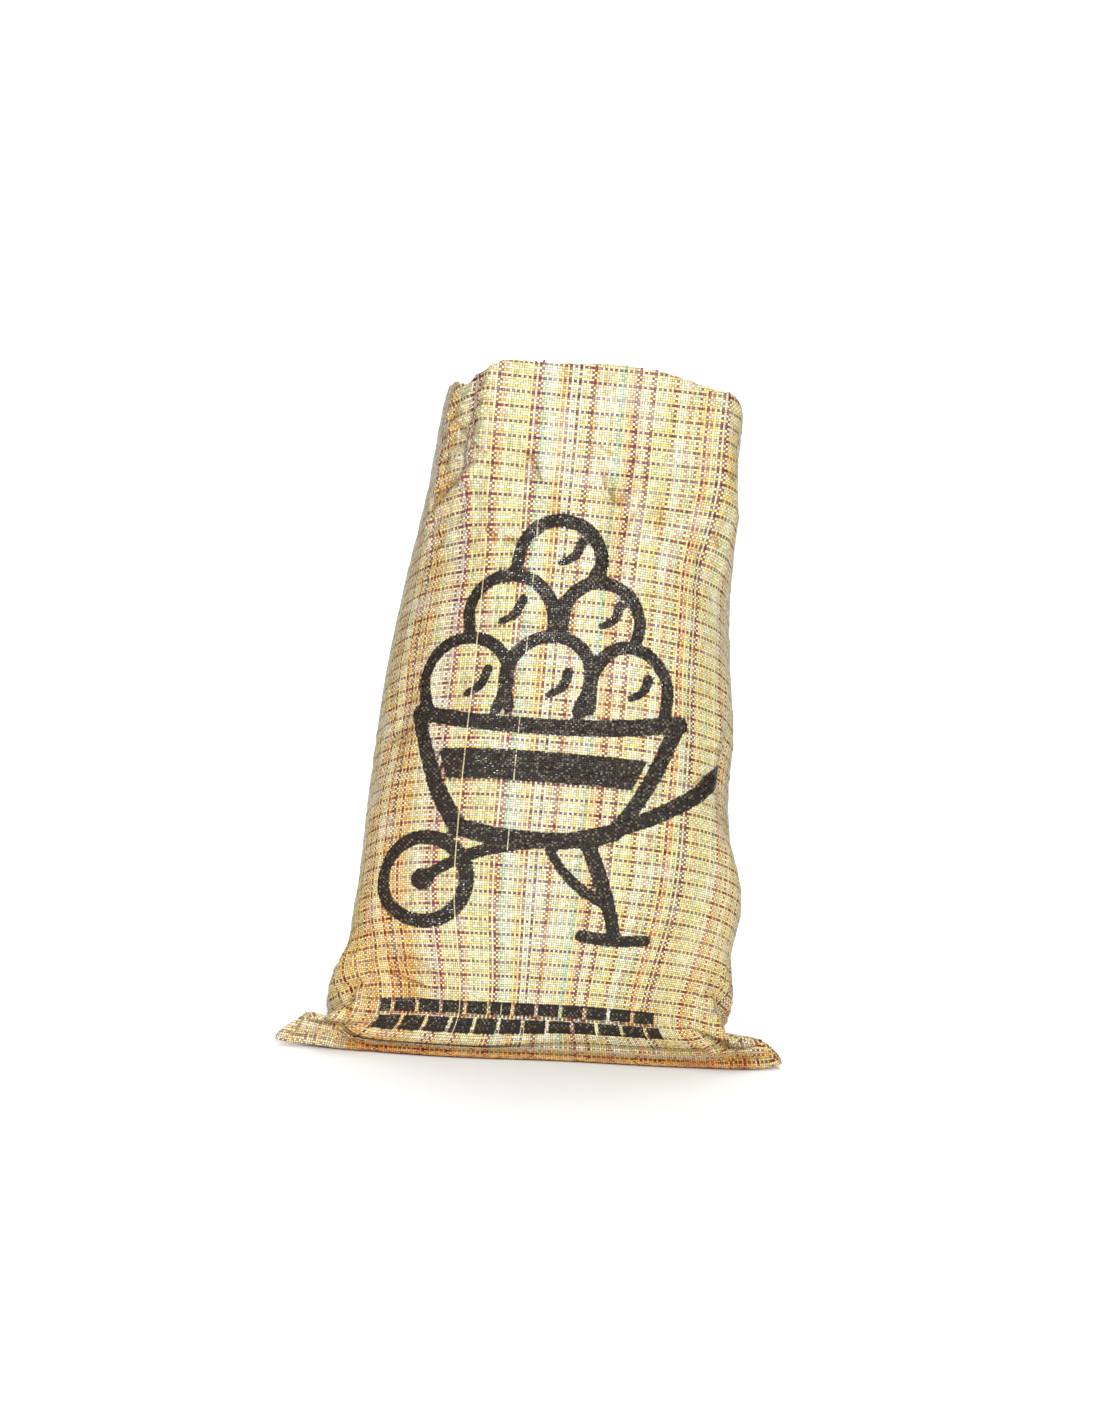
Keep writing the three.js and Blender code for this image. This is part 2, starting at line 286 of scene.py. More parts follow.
class Board:
    """The nodes of one material."""

    def __init__(self, name: str) -> None:
        """Makes an empty material.

        Args:
            name: the material's name.
        """
        self.material = bpy.data.materials.new(name)
        self.material.use_nodes = True
        self.tree = self.material.node_tree
        self.tree.nodes.clear()

    def node(
        self, kind: str, settings: dict | None = None, values: dict | None = None
    ) -> bpy.types.Node:
        """Adds a node.

        Args:
            kind: the node's type.
            settings: its settings, set first; "stops" are a ramp's places and colours.
            values: what its sockets hold or are linked to, by name, identifier or number.

        Returns:
            The node.
        """
        node = self.tree.nodes.new(kind)
        for name, value in (settings or {}).items():
            if name != "stops":
                setattr(node, name, value)
                continue
            elements = node.color_ramp.elements
            node.color_ramp.interpolation = "CONSTANT"
            while len(elements) < len(value):
                elements.new(1.0)
            for element, (place, colour) in zip(elements, value):
                element.position, element.color = place, (*colour, 1.0)
        for key, value in (values or {}).items():
            named = [s for s in node.inputs if key in (s.identifier, s.name) and s.enabled]
            socket = node.inputs[key] if isinstance(key, int) else named[0]
            value = value.socket if isinstance(value, Num) else value
            if isinstance(value, Socket):
                self.tree.links.new(value, socket)
            else:
                socket.default_value = value
        return node

    def number(self, kind: str, settings: dict, values: dict, output: int | str = 0) -> Num:
        """Adds a node and gives one of its outputs as a number."""
        return Num(self, self.node(kind, settings, values).outputs[output])

    def math(self, operation: str, *numbers: Num | float) -> Num:
        """One sum on numbers."""
        return self.number("ShaderNodeMath", {"operation": operation}, dict(enumerate(numbers)))

    def mix(self, share: Num | float, a: object, b: object, blend: str = "MIX") -> Socket:
        """Mixes two colours.

        Args:
            share: how much of b there is, from 0 to 1.
            a: the first colour, a tuple or a socket.
            b: the second colour.
            blend: how they mix.

        Returns:
            The mixed colour.
        """
        a, b = ((*c, 1.0) if isinstance(c, tuple) else c for c in (a, b))
        settings = {"data_type": "RGBA", "blend_type": blend, "clamp_factor": True}
        values = {"Factor_Float": share, "A_Color": a, "B_Color": b}
        node = self.node("ShaderNodeMix", settings, values)
        return next(s for s in node.outputs if s.identifier == "Result_Color")

    def tint(self, colour: Socket, noise: Num, *tints: tuple) -> Socket:
        """Tints a colour by noise.

        Args:
            colour: the colour.
            noise: from 0 to 1, about 0.5.
            tints: the noise where each starts and where it is full, how much, and the tape.

        Returns:
            The tinted colour.
        """
        for start, end, most, tape in tints:
            colour = self.mix(noise.rise(start, end) * most, colour, tape.value)
        return colour

    def shaded(self, colour: object, shade: Num) -> Socket:
        """A colour times a shade."""
        return self.mix(1.0, colour, self.vector(shade, shade, shade), "MULTIPLY")

    def vector(self, x: object, y: object, z: object = 0.0) -> Socket:
        """Three numbers as a vector."""
        return self.node("ShaderNodeCombineXYZ", None, {0: x, 1: y, 2: z}).outputs[0]

    def split(self, vector: Socket) -> tuple[Num, ...]:
        """A vector's three numbers."""
        parts = self.node("ShaderNodeSeparateXYZ", None, {0: vector})
        return tuple(Num(self, socket) for socket in parts.outputs)

    def cloth_place(self) -> tuple[Num, ...]:
        """How far each place is round the tube and up it (or along a thread and round it)."""
        return self.split(self.node("ShaderNodeUVMap", {"uv_map": "cloth"}).outputs[0])[:2]

    def marked(self, name: str) -> Num:
        """The number that the cloth's vertices carry under a name."""
        return self.number("ShaderNodeAttribute", {"attribute_name": name}, {}, "Fac")

    def chance(self, x: object, y: object, seed: float) -> tuple[Num, ...]:
        """Three random numbers that stay the same while x and y do.

        Args:
            x: a whole number.
            y: another.
            seed: tells one use from another.

        Returns:
            The numbers, from 0 to 1.
        """
        values = {"Vector": self.vector(x, y, seed)}
        white = self.node("ShaderNodeTexWhiteNoise", {"noise_dimensions": "3D"}, values)
        return self.split(white.outputs["Color"])

    def drift(self, x: object, y: object, z: object = 0.0, detail: float = 1.0) -> Num:
        """A soft random number, about 0.5, that changes over a distance of about 1."""
        values = {"Vector": self.vector(x, y, z), "Scale": 1.0, "Detail": detail, "Roughness": 0.5}
        return self.number("ShaderNodeTexNoise", {"noise_dimensions": "3D"}, values)

    def finish(self, values: dict, height: Num, deep: float, cover: tuple = ()) -> Material:
        """Ends the material in one surface, or in one with a cover over part of it.

        Args:
            values: what the surface's sockets hold or are linked to.
            height: the relief.
            deep: how high 1 is in the relief.
            cover: how far it is covered, from 0 to 1, and the cover's own values.

        Returns:
            The material.
        """
        relief = {"Height": height, "Distance": deep, "Strength": 1.0}
        normal = {"Normal": self.node("ShaderNodeBump", None, relief).outputs[0]}
        kind = "ShaderNodeBsdfPrincipled"
        surface = self.node(kind, None, {**values, **normal}).outputs[0]
        if cover:
            layer = self.node(kind, None, {**cover[1], **normal}).outputs[0]
            mixed = {0: cover[0], 1: surface, 2: layer}
            surface = self.node("ShaderNodeMixShader", None, mixed).outputs[0]
        self.node("ShaderNodeOutputMaterial", None, {"Surface": surface})
        return self.material


def tape_colour(red: int, green: int, blue: int) -> tuple[float, float, float]:
    """A tape's own colour from what it looks like in bright light, each from 0 to 255."""
    return tuple(0.68 * (part / 255) ** 2.2 for part in (red, green, blue))


class Tape(Enum):
    """The colours of plastic tape that the cloth is woven from."""

    WHITE = tape_colour(255, 252, 242)
    CREAM = tape_colour(255, 240, 190)
    IVORY = tape_colour(255, 247, 218)
    PALE = tape_colour(252, 232, 138)
    YELLOW = tape_colour(246, 208, 92)
    GOLD = tape_colour(244, 180, 66)
    ORANGE = tape_colour(240, 150, 60)
    PEACH = tape_colour(252, 200, 140)
    GREEN = tape_colour(202, 214, 140)
    MINT = tape_colour(226, 242, 208)
    TEAL = tape_colour(158, 214, 172)
    LILAC = tape_colour(214, 186, 176)
    BROWN = tape_colour(140, 72, 38)
    PINK = tape_colour(215, 105, 95)
    RED = tape_colour(180, 42, 38)
    DARK_RED = tape_colour(124, 16, 34)
    PLUM = tape_colour(112, 24, 90)


# where each ground starts, going right from the left side crease, and the tapes it takes in turn
# the greener grounds towards the right side crease are partly the cloth's own stripes and partly
# painted shade for the right edge, which turns away from the light
GROUND = {
    -275: "CREAM PALE GREEN CREAM", -240: "YELLOW GOLD PALE GREEN", -187: "CREAM PALE",
    -181: "GOLD YELLOW GOLD YELLOW", -150: "PALE LILAC GREEN CREAM", -134: "YELLOW LILAC CREAM",
    -116: "PALE GREEN PEACH", -88: "CREAM MINT PALE GREEN", -62: "CREAM PALE MINT",
    -45: "MINT GREEN IVORY", -32: "GOLD PALE", -25: "IVORY MINT", -9: "YELLOW IVORY",
    6: "IVORY MINT WHITE PALE", 36: "PEACH GOLD PEACH", 49: "CREAM IVORY", 58: "YELLOW CREAM",
    66: "GREEN MINT PALE", 80: "YELLOW PALE", 90: "CREAM GREEN MINT", 104: "YELLOW PALE GREEN",
    122: "GREEN PALE", 146: "YELLOW GREEN", 155: "GREEN CREAM GREEN PALE", 200: "GREEN",
    212: "YELLOW GREEN GREEN",
}

# the single tapes that stand out from the ground, by where each runs
MARKED = {
    Tape.DARK_RED: (
        -263, -247, -231, -216, -204, -193, -169, -156, -124, -119, -51, 47, 86, 118, 134, 139, 181,
        226, 236, 243, 252, 261, 268,
    ),
    Tape.RED: (-178, -113, -49, 197, 212, 231, 248, 257),
    Tape.PINK: (102,),
    Tape.BROWN: (-91, -59, -21, -14, 2, 61, 108),
    Tape.TEAL: (-46, 31, 205),
    Tape.ORANGE: (-198, -173, -152, -84, -29, 5, 83, 114, 121, 151, 184),
}


@dataclass(frozen=True)
class WovenTape:
    """Plain weave of flat glossy tape, with black ink where the piece's ink number is below 0.

    Sizes are in metres, but the fine creases and the bare tapes are in millimetres of cloth. A fine
    crease is warp and weft where it starts and where it ends, its width and its share. In a fade,
    each row is the noise where it starts and where it is full, how much, and towards which tape.
    A pair such as roughness is what it is at least and how much chance or the low part adds.
    """

    name: str = "woven_tape"
    pitch: float = 0.0025
    weft_pitch: float = 0.00256
    weft_turn: tuple = (Tape.PLUM, Tape.CREAM, Tape.PALE, Tape.WHITE, Tape.CREAM, Tape.CREAM)
    weft_start: float = 0.05
    sway: tuple = (0.8, 1.6)
    sway_scale: tuple = (8.0, 11.0)
    sway_apart: float = 40.0
    tape_scale: tuple = (90.0, 6.0)
    warp_fade: tuple = ((0.50, 0.72, 0.28, Tape.ORANGE), (0.47, 0.28, 0.22, Tape.WHITE))
    weft_fade: tuple = ((0.50, 0.75, 0.30, Tape.PEACH), (0.48, 0.25, 0.36, Tape.WHITE))
    blotch_scale: tuple = (38.0, 34.0)
    blotch_fade: tuple = ((0.52, 0.72, 0.16, Tape.GOLD), (0.50, 0.30, 0.30, Tape.WHITE))
    see_through: float = 0.06
    gap: tuple = (0.36, 0.50)
    gap_shade: tuple = (0.74, 0.36)
    dive: tuple = (0.28, 0.50)
    dive_shade: tuple = (0.54, 0.34)
    spot_dark: float = 0.44
    bright: tuple = (1.305, 0.17)
    roughness: tuple = (0.26, 0.26)
    ior: float = 1.36
    relief: float = 0.00030
    crown: tuple = (0.6, 0.5)
    tilt: float = 2.3
    ripple_scale: tuple = (75.0, 60.0)
    ripple: float = 2.6
    crease_depth: float = 5.5
    creases: tuple = (
        (-95, 580, -82, 566, 3.2, 0.9), (-79, 571, -59, 559, 2.6, 0.8),
        (-59, 660, -47, 642, 3.2, 0.9), (-50, 646, -40, 624, 2.6, 0.7),
        (26, 629, 42, 607, 3.0, 0.9), (19, 646, 27, 624, 3.4, 0.7), (10, 672, 31, 661, 2.2, 0.6),
        (47, 642, 52, 668, 3.6, 0.6), (48, 580, 58, 610, 3.2, 0.6), (80, 586, 83, 610, 2.6, 0.7),
        (138, 658, 162, 652, 3.0, 0.8), (142, 594, 160, 586, 2.8, 0.7),
        (154, 367, 226, 379, 3.4, 0.8), (142, 321, 170, 339, 3.0, 0.7),
        (166, 338, 214, 342, 4.0, 0.8), (-190, 93, -126, 70, 3.2, 0.8),
        (-202, 355, -150, 367, 3.0, 0.7), (-240, 68, -214, 26, 4.0, 0.8),
        (212, 6, 232, 52, 4.0, 0.8), (-262, 6, -252, -24, 2.2, 0.8),
        (-152, 702, -128, 672, 3.0, 0.7), (-130, 676, -110, 692, 2.6, 0.6),
        (-172, 660, -128, 648, 3.0, 0.6), (-118, 668, -96, 648, 3.0, 0.7),
    )
    # painted shade in the creases and just above the hem, and painted shade with warm bounce light
    # on the hem
    crease_shade_tint: tuple = (0.66, 0.40, 0.17)
    fine_crease_shade_share: float = 0.85
    hem_top: float = -0.013
    hem_shade_tint: tuple = (0.79, 0.54, 0.29)
    groove_shade_tint: tuple = (0.62, 0.54, 0.44)
    hem_shade_red: tuple = (0.66, 0.34, 0.20)
    redder_shade_scale: tuple = (34.0, 60.0)
    redder_shade_part: tuple = (0.42, 0.60)
    groove_shade_part: tuple = (0.009, 0.002)
    groove_shade_share: float = 0.75
    left_ear: tuple = (0.085, 0.055)
    right_ear: tuple = (0.05, 0.02)
    right_ear_spared: float = 0.6
    ear_top: float = 0.034
    ear_tint: tuple = (0.68, 0.50, 0.36)
    ear_share: float = 0.16
    ear_low_tint_spared: float = 0.8
    low_part: tuple = (0.36, 0.06)
    low_sides: tuple = (0.10, 0.17, 0.5)
    low_left: tuple = (0.08, 0.18, 0.4)
    low_tint: tuple = (0.94, 0.79, 0.60)
    printed: bool = True
    ink: tuple = (0.012, 0.007, 0.004)
    ink_edge: float = 0.7
    ink_gloss: tuple = (0.16, 0.34)
    ink_ior: float = 1.37
    ragged: float = 1.1
    missed: tuple = (0.02, 0.20)
    crevice: tuple = (0.06, 0.30)
    course: float = 0.019
    block: float = 0.030
    joint: tuple = (0.0042, 0.0040)
    band_half: float = 0.174
    band_middle: float = -0.018
    band_start: float = 0.024
    bare: tuple = (-93.0, -41.0)
    bare_half: float = 0.24
    bare_share: float = 0.7

    def warp_tapes(self) -> list[Tape]:
        """The tape at each place across one face of the sack.

        Returns:
            The ground's tapes from left to right, with the marked ones in their places.
        """
        middles = -SIDE + (np.arange(round(2 * SIDE * MM / self.pitch)) + 0.5) * self.pitch / MM
        zones = [names.split() for names in GROUND.values()]
        chosen = [zones[k] for k in np.searchsorted(list(GROUND), middles, "right") - 1]
        tapes = [Tape[zone[k % len(zone)]] for k, zone in enumerate(chosen)]
        for tape, places in MARKED.items():
            for place in places:
                tapes[int(np.abs(middles - place).argmin())] = tape
        return tapes

    def warp_colour(self, board: Board, number: Num) -> Socket:
        """The colour of the warp tape with that number, counted from the left side crease.

        Args:
            board: where the nodes go.
            number: the tape's whole number.

        Returns:
            A colour, from stepped ramps that take over from each other along the face.
        """
        tapes = self.warp_tapes()
        count, size, colour = len(tapes), 30, None
        place = (number % count + 0.5) / count
        for start in range(0, count, size):
            stops = [(k / count, tapes[k].value) for k in range(start, min(start + size, count))]
            stops[0] = (0.0, stops[0][1])
            ramp = board.node("ShaderNodeValToRGB", {"stops": stops}, {0: place}).outputs[0]
            colour = ramp if colour is None else board.mix(place > start / count, colour, ramp)
        return colour

    def weft_colour(self, board: Board, number: Num) -> Socket:
        """The colour of the weft tape with that number.

        Args:
            board: where the nodes go.
            number: the tape's whole number.

        Returns:
            A colour, from the turn of tapes that repeats up the tube.
        """
        turn = len(self.weft_turn)
        stops = [(k / turn, tape.value) for k, tape in enumerate(self.weft_turn)]
        place = (number % turn + 0.5) / turn
        return board.node("ShaderNodeValToRGB", {"stops": stops}, {0: place}).outputs[0]

    def print_edge(self, board: Board, round_: Num, up: Num) -> Num:
        """How far the cloth is outside the print, in millimetres, less than 0 inside it.

        Args:
            board: where the nodes go.
            round_: how far round the tube.
            up: how far up the tube.

        Returns:
            The nearer of the painted motif and two courses of brick blocks, each block the larger
            of its distances across and up less half its size.
        """
        motif = board.marked("ink")
        level = (up - self.band_start) / self.course
        shift = level.whole() * 0.5
        across = (round_ - (self.band_middle - self.band_half)) / self.block + shift
        block_x = abs(across % 1.0 - 0.5) * self.block - (self.block - self.joint[0]) / 2
        block_y = abs(level % 1.0 - 0.5) * self.course - (self.course - self.joint[1]) / 2
        end = abs(round_ - self.band_middle) - self.band_half
        edge = abs(up - self.band_start - self.course) - self.course
        return motif.least(block_x.most(block_y).most(end).most(edge) * 1000.0)

    def creased(self, board: Board, round_: Num, up: Num) -> Num:
        """How deep each place lies in a fine crease, from 0 to 1.

        Args:
            board: not used.
            round_: how far round the tube.
            up: how far up the tube.

        Returns:
            The deepest of the creases. Each falls off to both sides of its line over its width,
            and towards the line's two ends.
        """
        deepest = 0.0
        for warp0, weft0, warp1, weft1, width, share in self.creases:
            side, rise = (warp1 - warp0) * MM, (weft1 - weft0) * MM
            long = math.hypot(side, rise)
            start = (warp0 * side + weft0 * rise) * MM / long
            along = round_ * (side / long) + up * (rise / long) - start
            line = (warp0 * rise - weft0 * side) * MM / long
            off = round_ * (rise / long) - up * (side / long) - line
            near = abs(off).rise(width * MM, width * MM * 0.3)
            within = abs(along - long / 2).rise(long * 0.55, long * 0.25)
            deepest = (near * within * share).most(deepest)
        return deepest

    def material(self) -> Material:
        """Makes the material: which tape is on top, its colour, its ink and its relief.

        Returns:
            The material. A place is on the warp tape where the two tapes' numbers add up to an
            even one, and on the weft tape elsewhere.
        """
        board = Board(self.name)
        round_, up = board.cloth_place()
        angle = round_ * (math.pi / (HALF_GIRTH * MM))
        radius = HALF_GIRTH * MM / math.pi
        ring_x, ring_y = angle.cosine() * radius, angle.sine() * radius
        ring = (ring_x, ring_y, up)
        # which tapes cross at a place, how far it is from their middles, and which is on top
        wide, high = self.sway_scale
        wander = self.soft(board, ring, self.sway_scale, 1.0) - 0.5
        sway = board.drift(ring_x * wide, ring_y * wide, up * high + self.sway_apart) - 0.5
        turn = 2 * HALF_GIRTH * MM / self.pitch
        a = ((round_ + SIDE * MM) / self.pitch + wander * self.sway[0]) % turn
        b = (up + self.weft_start) / self.weft_pitch + sway * self.sway[1]
        warp_number, weft_number = a.whole(), b.whole()
        across, along = a - warp_number - 0.5, b - weft_number - 0.5
        over = ((warp_number + weft_number) % 2.0) < 0.5
        warp, weft = self.warp_colour(board, warp_number), self.weft_colour(board, weft_number)
        # each crossing's, each tape's and each row's own chance, and blotches over all
        spot = board.chance(warp_number, weft_number, 1.0)
        own = board.chance(warp_number, 7.0, 2.0)
        side, length = self.tape_scale
        faded = board.drift(own[0] * side, up * length, 1.7, 2.0)
        row = board.chance(3.0, weft_number, 5.0)
        streak = board.drift(row[0] * side, ring_x * length, ring_y * length, 2.0)
        blotch = self.soft(board, ring, self.blotch_scale)
        warp = board.tint(warp, faded, *self.warp_fade)
        weft = board.tint(weft, streak, *self.weft_fade)
        top, under = board.mix(over, weft, warp), board.mix(over, warp, weft)
        colour = board.mix(self.see_through, top, under)
        colour = board.tint(colour, blotch, *self.blotch_fade)
        # the hem's painted shade and warm bounce light, the painted shade just above the hem and in
        # the creases, a tint on the left ear and a darker, more orange tint low on the sides
        left_ear = abs(round_ + SIDE * MM).rise(*self.left_ear) * (up < self.ear_top)
        right_ear = abs(round_ - SIDE * MM).rise(*self.right_ear) * self.right_ear_spared
        in_ear = left_ear.most(right_ear)
        worn = board.marked("worn")
        # painted shade with warm bounce light on the hem, redder in places, less of it on the ears
        redder_shade = self.soft(board, ring, self.redder_shade_scale)
        hem_shade = board.mix(redder_shade.rise(*self.redder_shade_part), self.hem_shade_tint, self.hem_shade_red)
        colour = board.mix((up < self.hem_top) * (1 - in_ear), colour, hem_shade, "MULTIPLY")
        # painted shade in a thin band just above the hem
        soil_and_shade = (up - self.hem_top).rise(*self.groove_shade_part) * (up > self.hem_top) * (1 - in_ear)
        colour = board.mix(soil_and_shade * self.groove_shade_share, colour, self.groove_shade_tint, "MULTIPLY")
        colour = board.mix(left_ear * self.ear_share, colour, self.ear_tint)
        low = up.rise(*self.low_part)
        start, end, most = self.low_sides
        sides = abs(round_).rise(start, end) * most
        start, end, most = self.low_left
        sides = sides + (0 - round_).rise(start, end) * most
        low_share = low * sides * (1 - left_ear * self.ear_low_tint_spared)
        colour = board.mix(low_share, colour, self.low_tint, "MULTIPLY")
        # painted shade, darker and more orange, along the fine creases and where creases and folds
        # press the cloth in
        creased = self.creased(board, round_, up)
        crease_shade_amount = worn.most(creased * self.fine_crease_shade_share)
        colour = board.mix(crease_shade_amount, colour, self.crease_shade_tint, "MULTIPLY")
        # painted shade between the tapes and where a tape dives under its neighbour, stronger low
        # on the cloth
        end = along * over + across * (1 - over)
        edge = across * over + along * (1 - over)
        gap, dive = abs(edge).rise(*self.gap), abs(end).rise(*self.dive)
        dark = gap * (self.gap_shade[0] + low * self.gap_shade[1])
        dark = dark + dive * (self.dive_shade[0] + low * self.dive_shade[1])
        dark = dark + spot[0] * self.spot_dark
        colour = board.shaded(colour, self.bright[0] + low * self.bright[1] - dark)
        roughness = self.roughness[0] + spot[1] * self.roughness[1]
        cover = ()
        if self.printed:
            ragged = (spot[2] - 0.5) * self.ragged
            print_edge = self.print_edge(board, round_, up) + ragged
            inked = print_edge.rise(self.ink_edge, -self.ink_edge)
            for tape in self.bare:
                middle = math.floor((tape + SIDE) * MM / self.pitch) + 0.5
                inked = inked * (1 - (abs(a - middle) < self.bare_half) * self.bare_share)
            missed = self.missed[0] + spot[1] * self.missed[1]
            missed = (1 - over) * (spot[0] > 0.5) * missed
            crevice = (1 - over) * gap * (self.crevice[0] + spot[2] * self.crevice[1])
            inked = inked * (1 - missed.most(crevice))
            gloss = self.ink_gloss[0] + spot[1] * self.ink_gloss[1]
            ink = {"Base Color": (*self.ink, 1.0), "Roughness": gloss, "IOR": self.ink_ior}
            cover = (inked, ink)
        crown = (end * math.pi).cosine() * self.crown[0] + (1 - gap) * self.crown[1]
        tilt = (spot[0] - 0.5) * end * self.tilt + (spot[1] - 0.5) * edge * self.tilt
        ripple = self.soft(board, ring, self.ripple_scale) * self.ripple
        height = crown + tilt + ripple - creased * self.crease_depth
        values = {"Base Color": colour, "Roughness": roughness, "IOR": self.ior}
        return board.finish(values, height, self.relief, cover)

    @staticmethod
    def soft(board: Board, ring: tuple, scale: tuple, detail: float = 2.0) -> Num:
        """A drift that joins up round the tube, with its scale round the tube and up it."""
        return board.drift(ring[0] * scale[0], ring[1] * scale[0], ring[2] * scale[1], detail)


@dataclass(frozen=True)
class LooseTape:
    """The cut ends of warp tapes with nothing woven across them."""

    tape: WovenTape = WovenTape()
    lines: tuple = (9.0, 400.0)
    line_part: tuple = (0.45, 0.70)
    line_dark: float = 0.35
    roughness: tuple = (0.30, 0.2)
    ior: float = 1.5
    relief: float = 0.00006

    def material(self) -> Material:
        """Makes the material: each tape's colour, with fine lines along it.

        Returns:
            The material.
        """
        board = Board("loose_tape")
        round_, up = board.cloth_place()
        pitch = self.tape.pitch
        a = (round_ + SIDE * MM) / pitch % (2 * HALF_GIRTH * MM / pitch)
        number = a.whole()
        fibre = board.drift(a * self.lines[0], up * self.lines[1], 2.0)
        colour = self.tape.warp_colour(board, number)
        colour = board.shaded(colour, 1 - fibre.rise(*self.line_part) * self.line_dark)
        roughness = self.roughness[0] + fibre * self.roughness[1]
        values = {"Base Color": colour, "Roughness": roughness, "IOR": self.ior}
        return board.finish(values, fibre, self.relief)


@dataclass(frozen=True)
class TwistedThread:
    """Sewing thread of twisted plies."""

    name: str = "sewing_thread"
    colour: tuple = (0.66, 0.46, 0.38)
    plies: float = 3.0
    lay: float = 0.0022
    soil_scale: float = 90.0
    shade: tuple = (0.62, 0.30, 0.16)
    roughness: tuple = (0.55, 0.2)
    relief: float = 0.00012

    def material(self) -> Material:
        """Makes the material: slanting plies with painted shade between them, soiled here and
        there.

        Returns:
            The material. Its plies are a cosine of the turn round the thread plus the length
            along it over the lay.
        """
        board = Board(self.name)
        along, round_ = board.cloth_place()
        twist = round_ * self.plies + along / self.lay
        twist = (twist * (2 * math.pi)).cosine() * 0.5 + 0.5
        soil_and_shade = board.drift(along * self.soil_scale, round_, 4.0, 2.0)
        least, by_ply, by_soil = self.shade
        colour = board.shaded(self.colour, least + twist * by_ply + soil_and_shade * by_soil)
        roughness = self.roughness[0] + soil_and_shade * self.roughness[1]
        values = {"Base Color": colour, "Roughness": roughness}
        return board.finish(values, twist, self.relief)


@dataclass(frozen=True)
class PaleFloor:
    """Plain pale floor with a trace of unevenness."""

    shade: float = 0.86
    scale: float = 3.0
    uneven: float = 0.02
    roughness: float = 0.8
    relief: float = 0.0001

    def material(self) -> Material:
        """Makes the material.

        Returns:
            The material.
        """
        board = Board("pale_floor")
        x, y, z = board.split(board.node("ShaderNodeTexCoord").outputs["Object"])
        drift = board.drift(x * self.scale, y * self.scale, z * self.scale)
        grey = self.shade + drift * self.uneven
        values = {"Base Color": board.vector(grey, grey, grey), "Roughness": self.roughness}
        return board.finish(values, drift, self.relief)


